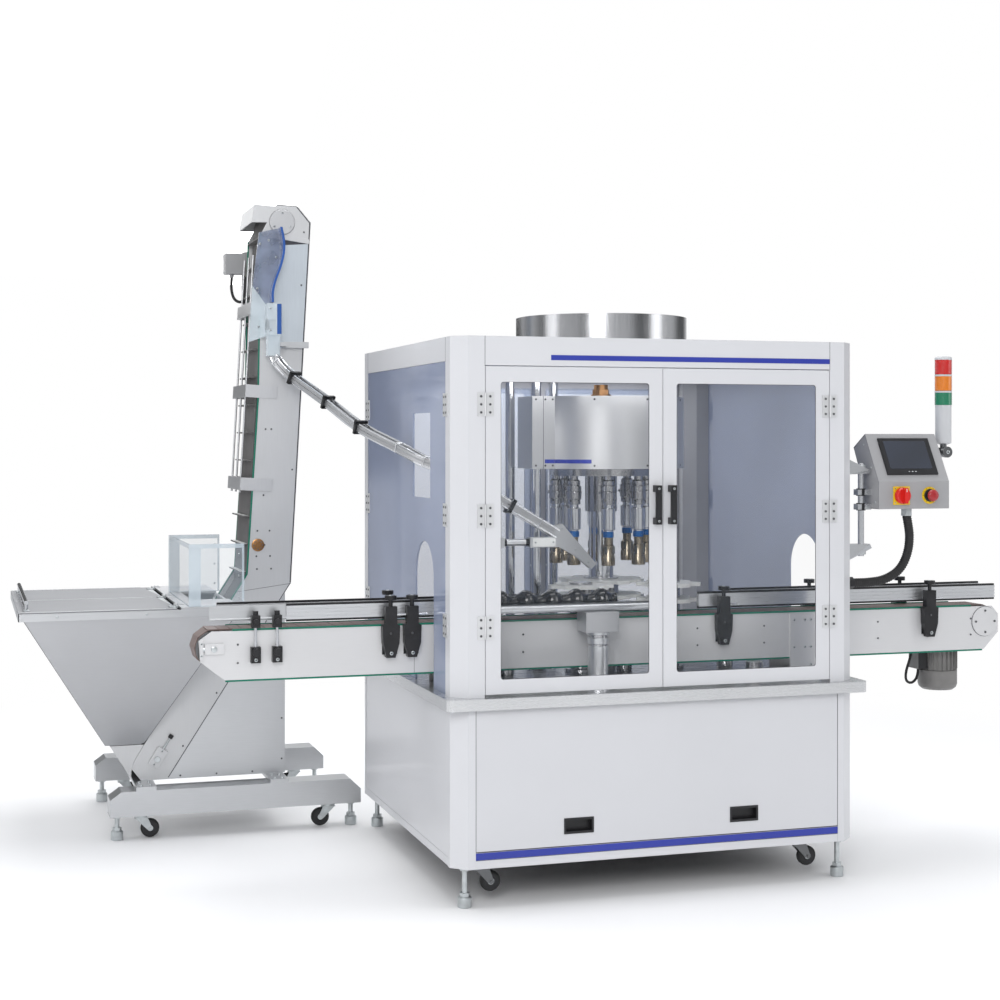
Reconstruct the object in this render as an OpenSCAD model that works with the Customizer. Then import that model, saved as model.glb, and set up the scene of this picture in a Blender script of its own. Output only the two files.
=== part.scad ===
// Rotary capping machine with slat conveyor, cap elevator, hopper and control box.
// Lengths in millimetres. X runs along the conveyor, Y from the front to the rear, Z up from the floor.
// Places are measured from the front left corner of the cabinet; the whole is then shifted to its origin.

/* [Cabinet] */
// Width of the cabinet
cab_w = 1450; // [1440:1:1460]
// Depth of the cabinet
cab_d = 1330; // [1325:1:1340]
// Height of the cabinet over the floor
cab_h = 1855; // [1850:1:1880]
// Height of the cabinet's underside
skirt_z = 131; // [125:1:135]
// Height of the worktop's surface
table_z = 684; // [684:1:686]
// Width of an upper corner post
post_w = 104; // [100:1:106]
// Chamfer on the outer corner of each post
post_chamfer = 49; // [40:1:50]

/* [Turret] */
// Number of capping heads
head_count = 8; // [8:1:8]
// Pitch radius of the capping heads
head_pitch_r = 170; // [168:1:170]
// Radius of the drum shaped head housing
housing_r = 309; // [300:1:310]
// Radius of the drum on the roof
drum_r = 320; // [312:1:325]

/* [Conveyor] */
// Height of the belt's top
belt_z = 900; // [900:1:902]
// Middle of the belt, from the cabinet's front
belt_y = 373; // [372:1:374]
// Outer width of the conveyor frame
conveyor_w = 160; // [160:1:162]
// Radius of the belt where it turns at both ends
belt_turn_r = 62; // [60:1:62]

/* [Elevator] */
// Front face of the elevator's front side plate
elev_y0 = 1420; // [1418:1:1425]
// Rear face of the elevator's rear side plate
elev_y1 = 1740; // [1738:1:1745]
// Lean of the elevator column, degrees
elev_lean = 3.23; // [3.23:0.01:3.23]

/* [Fits] */
// Radial clearance of a shaft that turns in a bore
fit = 0.05; // [0.03:0.01:0.08]
// Gap between parts that pass each other
gap = 0.5; // [0.4:0.1:0.8]

/* [Hidden] */
$fn = 64;
x_lo = -1316;
x_hi = 2212;
y_lo = -35;
y_hi = 2130;
origin = [-(x_lo + x_hi) / 2, -(y_lo + y_hi) / 2, 0];

turret = [786, 745];
infeed = [616, 500];
discharge = [956, 500];
star_pitch_r = 127.5;
star_count = 6;
shaft_r = 46;
star_shaft_r = 15;
gear_z = 560;
gear_t = 28;
table_t = 8;
rim_out = 29;
lower_post_w = 73;
door_t = 28;
door_z0 = 693;
door_z1 = 1757;
door_mid = cab_w / 2;
window_z0 = 741;
window_z1 = 1706;
stile = 52;
hinge_zs = [872, 1234, 1595];
hinge_h = 76;
hinge_w = 26;
hinge_t = 2.5;
hinge_axis_y = -4;
hinge_pin_r = 3.5;
housing_z0 = 1413;
housing_z1 = 1676;
carrier_z0 = 1385;
cy0 = belt_y - conveyor_w / 2;
cy1 = belt_y + conveyor_w / 2;
plate_t = 6;
tail_x = -728;
drive_x = 2150;
roller_z = belt_z - belt_turn_r;
belt_t = 5;
screw_y = 305;
screw_z = 960;
panel_x0 = 1540;
panel_x1 = 1819;
panel_y0 = 7;
switch_z = 1323;
isolator_x = 1628;
estop_x = 1740;
pole = [1508, 75];
tower = [1866, 120, 1474];
head_shaft = [-302, 2377];
bend = [-384, 930];
tail_shaft = [-790, 285];
elev_r = 62;
incline = atan2(bend[0] - tail_shaft[0], bend[1] - tail_shaft[1]);
hop_x0 = -1313;
hop_x1 = -514;
hop_y0 = 1100;
hop_y1 = 2060;
hop_z = 890;
lid_hinge_x = -743;
beam_ys = [1290, 2020];
beam_w = 110;
beam_z0 = 95;
beam_z1 = 190;
foot_xs = [-947, -43];
wheel_w = 24;
axle_r = 4;
// Each caster: its pivot, its wheel, the axle's height, the height of its plate and the wheel's radius
casters = concat(
    [for (y = [1345, 2075], s = [-1, 1]) [[-495 + s * 363, y], [-495 + s * 329, y], 39, beam_z0, 35]],
    [for (y = [75, cab_d - 75], x = [113, 1263]) [[x, y], [x + 30, y], 74, skirt_z, 34]]);

// ---------------------------------------------------------------- helpers

// A box between two corners
module span(x, y, z) {
    translate([x[0], y[0], z[0]]) cube([x[1] - x[0], y[1] - y[0], z[1] - z[0]]);
}

// An outline in X and Z, extruded along Y from y0 to y1
module slab(y0, y1) {
    translate([0, y1, 0]) rotate([90, 0, 0]) linear_extrude(y1 - y0) children();
}

// A round bar along Y
module bar_y(x, z, r, y0, y1) {
    translate([x, y1, z]) rotate([90, 0, 0]) cylinder(r = r, h = y1 - y0);
}

// A round bar along X
module bar_x(y, z, r, x0, x1) {
    translate([x0, y, z]) rotate([0, 90, 0]) cylinder(r = r, h = x1 - x0);
}

// A hexagonal prism along Z
module hex(x, y, z0, z1, r) {
    translate([x, y, z0]) cylinder(r = r, h = z1 - z0, $fn = 6);
}

// The same child at all four corners of the cabinet
module corners() {
    for (mx = [0, 1], my = [0, 1])
        translate([mx * cab_w, my * cab_d, 0]) mirror([mx, 0, 0]) mirror([0, my, 0]) children();
}

// A flat shape with round ends between two points, as true arcs
module capsule(a, b, r) {
    length = norm(b - a);
    translate(a) circle(r);
    translate(b) circle(r);
    translate(a) rotate(atan2(b[1] - a[1], b[0] - a[0])) translate([0, -r]) square([length, 2 * r]);
}

// Unit vector, and the two side directions of a ring across it
function unit(v) = v / norm(v);
function side_of(d) = unit(cross(d, [0, 0.02, 1]));
function heading(path, i) = unit(path[min(i + 1, len(path) - 1)] - path[max(i - 1, 0)]);
function ring(c, d, r, n, off) =
    let (s = side_of(d), u = cross(s, d))
    [for (k = [0 : n - 1]) c + s * (off[0] + r * cos(360 * k / n)) + u * (off[1] + r * sin(360 * k / n))];

// A tube of n sides swept along a path, offset sideways and upwards from it
module sweep(path, r, n = 8, off = [0, 0]) {
    rings = [for (i = [0 : len(path) - 1]) ring(path[i], heading(path, i), r, n, off)];
    points = [for (one = rings) for (p = one) p];
    last = len(path) - 1;
    faces = concat(
        [[for (k = [n - 1 : -1 : 0]) k]],
        [[for (k = [0 : n - 1]) last * n + k]],
        [for (i = [0 : last - 1], k = [0 : n - 1])
            [i * n + k, i * n + (k + 1) % n, (i + 1) * n + (k + 1) % n, (i + 1) * n + k]]);
    polyhedron(points = points, faces = faces, convexity = 6);
}

// Points on a smooth curve through the given ones
function spline(p, i, t) =
    let (a = p[max(i - 1, 0)], b = p[i], c = p[i + 1], d = p[min(i + 2, len(p) - 1)])
    0.5 * ((2 * b) + (c - a) * t + (2 * a - 5 * b + 4 * c - d) * t * t + (3 * b - a - 3 * c + d) * t * t * t);
function smooth(p, steps) = concat(
    [for (i = [0 : len(p) - 2], k = [0 : steps - 1]) spline(p, i, k / steps)], [p[len(p) - 1]]);

// ---------------------------------------------------------------- lower cabinet

module lower_post_outline() {
    polygon([[0, post_chamfer], [post_chamfer, 0], [lower_post_w, 0], [lower_post_w, lower_post_w],
             [0, lower_post_w]]);
}

module base_frame() color("whitesmoke") {
    under_top = table_z - table_t;
    corners() translate([0, 0, skirt_z]) linear_extrude(under_top - skirt_z) lower_post_outline();
    inner_x = [lower_post_w, cab_w - lower_post_w];
    inner_y = [lower_post_w, cab_d - lower_post_w];
    for (m = [0, 1]) translate([0, m * cab_d, 0]) mirror([0, m, 0]) {
        span(inner_x, [2, 42], [skirt_z, 158]);
        span(inner_x, [1, 20], [160, 184]);
        span(inner_x, [40, 70], [620, under_top]);
    }
    for (m = [0, 1]) translate([m * cab_w, 0, 0]) mirror([m, 0, 0]) {
        span([2, 42], inner_y, [skirt_z, 158]);
        span([40, 70], inner_y, [620, under_top]);
    }
    span([42, cab_w - 42], [42, cab_d - 42], [skirt_z, skirt_z + 4]);
    // Side and rear sheets
    panel_y = [lower_post_w + 1, cab_d - lower_post_w - 1];
    for (m = [0, 1]) translate([m * cab_w, 0, 0]) mirror([m, 0, 0]) span([1, 5], panel_y, [160, 645]);
    span([lower_post_w + 1, cab_w - lower_post_w - 1], [cab_d - 5, cab_d - 1], [187, 645]);
}

module flush_pull(x) {
    pull_w = 97;
    pull_h = 44;
    pull_z = 251;
    difference() {
        union() {
            span([x - 52, x + 52], [-1, 1], [pull_z - 26, pull_z + 26]);
            span([x - pull_w / 2, x + pull_w / 2], [1, 26], [pull_z - pull_h / 2, pull_z + pull_h / 2]);
        }
        span([x - 45, x + 45], [-2, 23], [pull_z - 18, pull_z + 18]);
    }
}

module lower_front_panel() color("gainsboro") {
    x0 = lower_post_w + 2;
    pull_xs = [427, 1022];
    difference() {
        span([x0, cab_w - x0], [1, 5], [187, 644]);
        for (x = pull_xs) span([x - 48.5, x + 48.5], [0, 6], [229, 273]);
    }
    for (x = pull_xs) flush_pull(x);
}

// A levelling foot that reaches from the floor up to z_top
module foot(x, y, z_top) {
    translate([x, y, 0]) rotate_extrude()
        polygon([[0, 0], [21, 0], [23, 2], [23, 32], [19, 36], [9, 36], [9, z_top], [0, z_top]]);
    hex(x, y, 36, 48, 17);
    hex(x, y, z_top - 12, z_top, 16);
}

module levelling_feet() color("darkgray") {
    corners() foot(50, 50, skirt_z);
    for (x = foot_xs, y = beam_ys) foot(x, y + beam_w / 2, beam_z0);
}

// A caster fork: plate, swivel bearing, two cheeks and the axle, under the height z_top
module fork(pivot, wheel, z_axle, z_top, drop_r) {
    span([pivot[0] - 36, pivot[0] + 36], [pivot[1] - 32, pivot[1] + 32], [z_top - 4, z_top]);
    translate([pivot[0], pivot[1], z_top - 14]) cylinder(r = 25, h = 10);
    cheek_z = z_axle + drop_r + 3;
    span([pivot[0] - 24, pivot[0] + 24], [pivot[1] - 17, pivot[1] + 17], [cheek_z, z_top - 14]);
    for (s = [-1, 1]) slab(pivot[1] + s * 15.5 - 1.5, pivot[1] + s * 15.5 + 1.5)
        polygon([[pivot[0] - 24, z_top - 14], [pivot[0] + 24, z_top - 14],
                 [wheel[0] + 11, z_axle - 4], [wheel[0], z_axle - 9], [wheel[0] - 11, z_axle - 4]]);
    bar_y(wheel[0], z_axle, axle_r, wheel[1] - 21, wheel[1] + 21);
}

module wheel_shape(place, z_axle, r) {
    translate([place[0], place[1], z_axle]) rotate([90, 0, 0]) rotate_extrude()
        polygon([[axle_r + fit, -wheel_w / 2], [r - 5, -wheel_w / 2], [r, -wheel_w / 2 + 6],
                 [r, wheel_w / 2 - 6], [r - 5, wheel_w / 2], [axle_r + fit, wheel_w / 2]]);
}

module caster_forks() color("silver") {
    for (c = casters) fork(c[0], c[1], c[2], c[3], c[4]);
}

module caster_wheel(i) color("black") {
    c = casters[i - 1];
    wheel_shape(c[1], c[2], c[4]);
}

module worktop() color("silver") {
    difference() {
        rounded_plate(rim_out, 22, 647, table_z);
        span([-rim_out + 12, cab_w + rim_out - 12], [-rim_out + 12, cab_d + rim_out - 12],
             [640, table_z - table_t]);
        translate([turret[0], turret[1], 640]) cylinder(r = 70, h = 60);
        for (c = [infeed, discharge]) translate([c[0], c[1], 640]) cylinder(r = 30, h = 60);
    }
}

// A plate round the cabinet's outline, out beyond it, with corner radius r
module rounded_plate(out, r, z0, z1) {
    w = cab_w + 2 * out;
    d = cab_d + 2 * out;
    translate([-out, -out, z0]) {
        translate([r, 0, 0]) cube([w - 2 * r, d, z1 - z0]);
        translate([0, r, 0]) cube([w, d - 2 * r, z1 - z0]);
        for (x = [r, w - r], y = [r, d - r]) translate([x, y, 0]) cylinder(r = r, h = z1 - z0);
    }
}

// ---------------------------------------------------------------- guard

module upper_post_outline() {
    inner = 60;
    polygon([[0, post_chamfer], [post_chamfer, 0], [post_w, 0], [post_w, inner], [inner, post_w],
             [0, post_w]]);
}

module guard_frame() color("whitesmoke") {
    corners() translate([0, 0, table_z]) linear_extrude(cab_h - table_z) upper_post_outline();
    for (m = [0, 1]) {
        translate([0, m * cab_d, 0]) mirror([0, m, 0]) span([post_w, cab_w - post_w], [0, 60], [1760, cab_h]);
        translate([m * cab_w, 0, 0]) mirror([m, 0, 0]) span([0, 60], [post_w, cab_d - post_w], [1776, cab_h]);
    }
    difference() {
        span([60, cab_w - 60], [60, cab_d - 60], [cab_h - 6, cab_h]);
        translate([turret[0], turret[1], cab_h - 10]) cylinder(r = 290, h = 20);
    }
    // Hinge leaves and pins for the four doors
    for (m = [0, 1]) translate([0, m * cab_d, 0]) mirror([0, m, 0]) {
        fixed_leaf(post_w, 1);
        fixed_leaf(cab_w - post_w, -1);
    }
}

module roof_drum() color("lightgray") {
    drum_h = 117;
    translate([turret[0], turret[1], cab_h]) difference() {
        cylinder(r = drum_r, h = drum_h, $fn = 128);
        translate([0, 0, -1]) cylinder(r = drum_r - 3, h = drum_h - 5, $fn = 128);
    }
}

module side_windows() color("lightsteelblue") {
    arch_r = 119.5;
    arch_y = belt_y;
    arch_z = 1173 - arch_r;
    for (m = [0, 1]) translate([m * cab_w, 0, 0]) mirror([m, 0, 0]) difference() {
        span([1, 7], [post_w + 1, cab_d - post_w - 1], [table_z, 1775]);
        span([-10, 20], [arch_y - arch_r, arch_y + arch_r], [table_z - 1, arch_z]);
        bar_x(arch_y, arch_z, arch_r, -10, 20);
        if (m == 0) span([-10, 20], [298, 531], [1320, 1610]);
    }
}

// The leaf of a hinge that stays on the post, with its pin, for the hinge axis at x, leaf to the side s
module fixed_leaf(x, s) {
    for (z = hinge_zs) {
        outer = x - s * hinge_w;
        inner = x - s * 2;
        span([min(outer, inner), max(outer, inner)], [-hinge_t, 0], [z, z + hinge_h]);
        translate([x, hinge_axis_y, z]) cylinder(r = hinge_pin_r, h = hinge_h);
        span([min(x, inner), max(x, inner)], [-hinge_t - 0.5, -hinge_t + 0.5], [z, z + hinge_h * 0.45]);
    }
}

// A door at the front: frame, pane, moving hinge leaves and handle. Free edge at door_mid
module door() {
    x0 = post_w + 2;
    x1 = door_mid - 1;
    window_x = [x0 + stile, x1 - stile + 3];
    difference() {
        span([x0, x1], [0, door_t], [door_z0, door_z1]);
        span(window_x, [-1, door_t + 1], [window_z0, window_z1]);
    }
    span([window_x[0] - 8, window_x[1] + 8], [door_t, door_t + 4], [window_z0 - 8, window_z1 + 8]);
    for (z = hinge_zs) span([x0 + 3, x0 + 1 + hinge_w], [-hinge_t, 0], [z, z + hinge_h]);
    handle_x = door_mid - 27;
    handle_z = [1237, 1367];
    foot_h = 22;
    span([handle_x - 10, handle_x + 10], [-35, -21], handle_z);
    for (z = [handle_z[0], handle_z[1] - foot_h])
        span([handle_x - 10, handle_x + 10], [-21, 0], [z, z + foot_h]);
}

module front_door_left() color("whitesmoke") door();
module front_door_right() color("whitesmoke") translate([cab_w, 0, 0]) mirror([1, 0, 0]) door();
module rear_door_left() color("whitesmoke") translate([0, cab_d, 0]) mirror([0, 1, 0]) door();
module rear_door_right() color("whitesmoke")
    translate([cab_w, cab_d, 0]) mirror([1, 0, 0]) mirror([0, 1, 0]) door();

// ---------------------------------------------------------------- turret

column_places = [[475, 895], [480, 600], [1095, 895], [730, 1130]];
column_r = 18;

module guide_column(p) translate([p[0], p[1], table_z]) {
    cylinder(r = 34, h = 18);
    cylinder(r = column_r, h = cab_h - 6 - table_z);
}

module head_housing() color("gainsboro") {
    slide_r = column_r + fit;
    lug_x = [1085, 1130];
    difference() {
        union() {
            span([452, 620], [561, 731], [housing_z0, housing_z1]);
            translate([turret[0], turret[1], housing_z0])
                cylinder(r = housing_r, h = housing_z1 - housing_z0, $fn = 128);
            span([1000, lug_x[1]], [868, 922], [1480, 1560]);
            translate([turret[0], turret[1], housing_z1]) cylinder(r = 38, h = 12);
            hex(turret[0], turret[1], housing_z1 + 12, housing_z1 + 30, 34);
            translate([turret[0], turret[1], housing_z1 + 30]) cylinder(r = 27, h = 18);
        }
        // Hollow round the bearing sleeve, open below through round holes
        translate([turret[0], turret[1], 0]) difference() {
            translate([0, 0, housing_z0 + 8]) cylinder(r = housing_r - 6, h = 249);
            translate([0, 0, housing_z0]) cylinder(r = 80, h = 84);
            span([-housing_r, -180], [-170, 0], [housing_z0, housing_z1]);
            span([210, housing_r], [90, 200], [housing_z0, housing_z1]);
        }
        for (a = [22.5 : 45 : 360]) translate([turret[0], turret[1], housing_z0 - 1]) rotate(a)
            translate([245, 0, 0]) cylinder(r = 22, h = 20);
        for (i = [1, 2]) translate([column_places[i][0], column_places[i][1], housing_z0 - 1])
            cylinder(r = slide_r, h = 300);
        translate([turret[0], turret[1], housing_z0 - 1]) cylinder(r = 60 + fit, h = 80);
    }
}

head_start = -11.7;
// First pocket of each star wheel at rest, in degrees from +X, so that pockets meet where the wheels touch
main_pocket = 33.3;
infeed_pocket = 24.4;
discharge_pocket = 6.8;
function head_place(i) = let (a = head_start + (i - 1) * 360 / head_count)
    [turret[0] + head_pitch_r * sin(a), turret[1] - head_pitch_r * cos(a)];

module turret_carrier() color("silver") {
    translate([turret[0], turret[1], 0]) difference() {
        union() {
            translate([0, 0, carrier_z0]) cylinder(r = 195, h = housing_z0 - carrier_z0 - gap, $fn = 128);
            translate([0, 0, 1250]) cylinder(r = 60, h = 135);
            translate([0, 0, housing_z0 - gap]) cylinder(r = 60, h = 72);
        }
        translate([0, 0, 1240]) cylinder(r = shaft_r + fit, h = 144);
        for (i = [1 : head_count])
            translate([head_place(i)[0] - turret[0], head_place(i)[1] - turret[1], 1380])
                cylinder(r = 16 + fit, h = 26);
    }
}

// A capping head: spindle, clutch with its three lugs, cylinder, ring and chuck with a socket for the cap
module capping_head(i) color("silver") {
    translate([head_place(i)[0], head_place(i)[1], 0]) {
        rotate_extrude() polygon([[0, 1405], [16, 1405], [16, 1370], [24, 1366], [24, 1352], [28, 1348],
            [28, 1300], [25, 1296], [25, 1280], [18, 1278], [18, 1268], [26, 1266], [26, 1188], [17, 1186],
            [17, 1182], [20, 1182], [20, 1160], [16, 1159], [16, 1134], [21, 1130], [21, 1096], [25, 1090],
            [25, 1057], [15, 1057], [15, 1085], [0, 1085]]);
        for (k = [0 : 2]) rotate(k * 120 + 20) translate([26, 0, 1322]) rotate([0, 90, 0])
            cylinder(r = 7, h = 9);
    }
}

// A star wheel plate: pockets for bottles round the edge
module star_plate(n, pitch, edge, t, start) {
    pocket_r = 38.5;
    linear_extrude(t) difference() {
        circle(edge, $fn = 96);
        for (i = [0 : n - 1]) rotate(start + 360 * i / n) translate([pitch, 0]) circle(pocket_r);
    }
}

// A spur gear of n teeth whose tips stay just inside the pitch radius
module gear(n, r, t) {
    step = 360 / n;
    tip = r - 0.3;
    root = r - 7;
    linear_extrude(t) polygon([for (i = [0 : n - 1], k = [0 : 3])
        let (a = step * (i + [0, 0.22, 0.5, 0.72][k]), q = (k == 0 || k == 3) ? root : tip)
        [q * cos(a), q * sin(a)]]);
}

module main_star() color("silver") {
    translate([turret[0], turret[1], 0]) {
        translate([0, 0, 500]) cylinder(r = shaft_r, h = 850);
        translate([0, 0, gear_z]) gear(68, head_pitch_r, gear_t);
        translate([0, 0, 884]) cylinder(r = 205, h = 15, $fn = 96);
        translate([0, 0, 899]) cylinder(r = 66, h = 105);
        for (z = [930, 986]) translate([0, 0, z]) star_plate(head_count, head_pitch_r, 161, 12, main_pocket);
    }
}

module star_wheel(c, start) {
    translate([c[0], c[1], 0]) {
        translate([0, 0, 545]) cylinder(r = star_shaft_r, h = 355);
        translate([0, 0, gear_z]) gear(51, star_pitch_r, gear_t);
        translate([0, 0, 881]) cylinder(r = 42, h = 124);
        for (z = [930, 986]) translate([0, 0, z]) star_plate(star_count, star_pitch_r, 118, 12, start);
    }
}

module infeed_star() color("white") star_wheel(infeed, infeed_pocket);
module discharge_star() color("white") star_wheel(discharge, discharge_pocket);

// Feed screw, as a row of round ribs along its axis
module timing_screw() color("black") {
    x0 = 205;
    x1 = 672;
    pitch = 92;
    steps = 56;
    translate([x0, screw_y, screw_z]) rotate([0, 90, 0]) rotate_extrude() polygon(concat(
        [[0, 0]],
        [for (k = [0 : steps]) let (s = (x1 - x0) * k / steps) [32 - 10 * cos(360 * s / pitch), s]],
        [[0, x1 - x0]]));
    bar_x(screw_y, screw_z, 9, x0 - 50, x0);
}

// A bearing pedestal on the table with a bore for its shaft
module pedestal(c, r, bore, z1) {
    translate([c[0], c[1], table_z]) difference() {
        union() {
            cylinder(r = r, h = z1 - table_z);
            cylinder(r = r + 18, h = 14);
        }
        translate([0, 0, -1]) cylinder(r = bore + fit, h = z1 - table_z + 2);
    }
}

guide_bar_y = 220;
guide_bar_z = 943;
guide_bar_r = 12.5;

module table_fittings() color("silver") {
    for (p = column_places) guide_column(p);
    pedestal(turret, 90, shaft_r, 883);
    pedestal(infeed, 40, star_shaft_r, 880);
    pedestal(discharge, 40, star_shaft_r, 880);
    for (x = [330, 780, 1180]) for (y = [498, 250]) if (y == 498 || x == 1180)
        translate([x, y, table_z]) cylinder(r = 30, h = 46);
    // Screw bearing block, guide bar with its block and post, and the ledge on it
    difference() {
        span([150, 176.5], [285, 325], [902, 985]);
        bar_x(screw_y, screw_z, 9 + fit, 149, 178);
    }
    bar_x(guide_bar_y, guide_bar_z, guide_bar_r, 150, 860);
    span([150, 176.5], [guide_bar_y + 5, 285], [930, 956]);
    span([515, 635], [170, 262], [862, 930.5]);
    translate([575, 216, table_z]) {
        cylinder(r = 46, h = 12);
        cylinder(r = 33, h = 178);
    }
    span([200, 850], [232, 260], [guide_bar_z + 6, guide_bar_z + 14]);
}

module drive_gearbox() color("slategray") {
    difference() {
        span([686, 886], [645, 845], [skirt_z + 4, 540]);
        translate([turret[0], turret[1], 495]) cylinder(r = shaft_r + fit, h = 60);
    }
    bar_y(turret[0], 420, 85, 845, 1160);
    span([730, 842], [900, 1060], [480, 545]);
}

// ---------------------------------------------------------------- conveyor

module side_plate_outline() {
    top = belt_z - 5;
    low = 735;
    polygon([[-735, top], [-777, top - 29], [-772, low + 62], [-693, low], [2146, low], [2207, low + 63],
             [2207, top - 30], [2181, top]]);
}

module conveyor_frame() color("whitesmoke") {
    difference() {
        union() {
            for (y = [cy0, cy1 - plate_t]) slab(y, y + plate_t) side_plate_outline();
            for (x = [-560, -200, 250, 700, 1150, 1600, 1900]) bar_y(x, 758, 8, cy0 + plate_t, cy1 - plate_t);
            for (x = [[40, 130], [1341, 1440]], y = [[cy0 - 6, cy0], [cy1, cy1 + 6]])
                span(x, y, [table_z, 890]);
        }
        bar_y(tail_x, roller_z, 12.5 + fit, cy0 - 1, cy1 + 1);
        bar_y(drive_x, roller_z, 12.5 + fit, cy0 - 1, cy1 + 1);
    }
    for (y = [cy0 - 4, cy1]) bar_y(drive_x, roller_z, 55, y, y + 4);
    for (y = [cy0 - 9, cy1]) span([tail_x - 30, tail_x + 32], [y, y + 9], [roller_z - 17, roller_z + 17]);
    span([tail_x - 46, tail_x - 36], [cy0 - 12, cy0], [roller_z - 33, roller_z + 31]);
    bar_x(cy0 - 5, roller_z, 4, tail_x - 36, tail_x - 30);
}

module belt_outline(r) {
    capsule([tail_x, roller_z], [drive_x, roller_z], r);
}

// The slat belt, and the wear strips along both edges of the side plates
module conveyor_belt() color("rosybrown") {
    slab(belt_y - 66, belt_y + 66) difference() {
        belt_outline(belt_turn_r);
        belt_outline(belt_turn_r - belt_t);
    }
    for (y = [cy0 - 2, cy1 - 8]) span([-668, 2090], [y, y + 10], [belt_z - 5, belt_z + 1]);
    for (y = [cy0, cy1 - 10]) span([-690, 2140], [y, y + 10], [729, 735]);
}

module roller(x) {
    bar_y(x, roller_z, belt_turn_r - belt_t - gap, belt_y - 66, belt_y + 66);
    bar_y(x, roller_z, 12.5, cy0 + 1, cy1 - 1);
}

module conveyor_drive_roller() color("darkgray") roller(drive_x);
module conveyor_tail_roller() color("darkgray") roller(tail_x);

motor_cable = smooth([[1943, 420, 655], [1942, 420, 638], [1934, 418, 616], [1914, 414, 602],
                      [1892, 408, 606], [1880, 402, 622], [1880, 398, 650], [1890, 396, 684],
                      [1898, 395, 712], [1900, 395, 730]], 2);

module conveyor_gearmotor() color("gray") {
    c = [2026, 420];
    motor_r = 73;
    span([1955, 2097], [belt_y - 60, belt_y + 60], [728, 768]);
    translate([c[0], c[1], 0]) rotate_extrude() polygon([[0, 575], [58, 575], [69, 584], [motor_r, 596],
        [motor_r, 648], [68, 650], [68, 728], [0, 728]]);
    for (a = [0 : 15 : 345]) translate([c[0], c[1], 652]) rotate(a) translate([66, -1.5, 0]) cube([8, 3, 72]);
    span([1924, 1962], [385, 455], [655, 728]);
    span([1885, 1915], [380, 410], [730, 750]);
    sweep(motor_cable, 5);
}

// ---------------------------------------------------------------- guide rails

front_rails = [[-487, 120], [993, 2204]];
rear_rails = [[-700, 430], [1150, 2204]];

// A guide rail: aluminium profile with three grooves, and a dark strip along its top and its foot
module rail(x, y0, face) {
    rail_z = [925, 970];
    difference() {
        span(x, [y0, y0 + 20], rail_z);
        for (z = [933, 945, 957])
            span([x[0] - 1, x[1] + 1], face > 0 ? [y0 + 17, y0 + 21] : [y0 - 1, y0 + 3], [z, z + 5]);
    }
    span(x, [y0 + 4, y0 + 16], [rail_z[1], rail_z[1] + 7]);
    span(x, [y0 + 4, y0 + 16], [rail_z[0] - 7, rail_z[0]]);
}

module guide_rails() color("silver") {
    for (x = front_rails) rail(x, 310, -1);
    for (x = rear_rails) rail(x, 416, 1);
    span([-740, -487], [318, 322], [925, 975]);
    bar_x(320, 930, 4, -736, -487);
}

// A rail bracket on the front side plate at x: clamp body, knob, rod to the rail and lever
module bracket(x) {
    slab(cy0 - 30, cy0 - 3) polygon([[x - 30, 900], [x - 20, 903], [x - 20, 962], [x + 20, 962],
        [x + 20, 903], [x + 30, 898], [x + 28, 840], [x + 14, 791], [x - 16, 791], [x - 28, 840]]);
    span([x - 26, x + 26], [cy0 - 3, cy0], [800, 888]);
    translate([x, cy0 - 17, 962]) {
        cylinder(r = 7, h = 22);
        translate([0, 0, 22]) cylinder(r = 20, h = 14);
    }
    bar_y(x, 948, 6, cy0 - 3, 310);
    bar_x(cy0 - 18, 934, 4, x + 20, x + 52);
}

// A light bracket: rod standing in a clamp on the side plate
module rod_bracket(x) {
    span([x - 16, x + 16], [cy0 - 24, cy0], [790, 842]);
    translate([x, cy0 - 12, 842]) cylinder(r = 5, h = 100);
    span([x - 14, x + 14], [cy0 - 26, cy0 + 2], [905, 945]);
    translate([x, cy0 - 12, 945]) cylinder(r = 9, h = 14);
    bar_y(x, 938, 4, cy0 + 2, 318);
}

module rail_brackets() color("black") {
    for (x = [-142, -68, 1074, 1905]) bracket(x);
    for (x = [-594, -523]) rod_bracket(x);
    for (x = [-105, 1512, 1894]) translate([0, 2 * belt_y, 0]) mirror([0, 1, 0]) bracket(x);
}

// ---------------------------------------------------------------- control box

module panel_outline() {
    polygon([[panel_y0, 1276], [panel_y0, 1372], [104, 1539], [185, 1491], [155, 1433], [120, 1276]]);
}

screen_tilt = atan2(104 - panel_y0, 1539 - 1372);

module control_box() color("lightgray") {
    difference() {
        translate([panel_x0, 0, 0]) rotate([90, 0, 90]) linear_extrude(panel_x1 - panel_x0) panel_outline();
        bar_y(isolator_x, switch_z, 6 + fit, 0, 40);
        bar_y(estop_x, switch_z, 8 + fit, 0, 60);
    }
    // Touch screen on the slope
    translate([1581, panel_y0, 1372]) rotate([-screen_tilt, 0, 0]) span([0, 201], [-6, 0], [26, 172]);
    // Isolator's backplate and the emergency stop's ring
    difference() {
        span([isolator_x - 32, isolator_x + 32], [panel_y0 - 4, panel_y0], [switch_z - 32, switch_z + 32]);
        bar_y(isolator_x, switch_z, 6 + fit, -20, 40);
    }
    difference() {
        bar_y(estop_x, switch_z, 30, panel_y0 - 3, panel_y0);
        bar_y(estop_x, switch_z, 8 + fit, -20, 40);
    }
    // Cable gland below, and the tower's arm on the right
    hex(1677, 55, 1254, 1276, 21);
    difference() {
        span([panel_x1, tower[0] + 14], [tower[1] + 13, tower[1] + 19], [1455, 1490]);
        bar_y(tower[0], tower[2], 8 + fit, 100, 160);
    }
}

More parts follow.
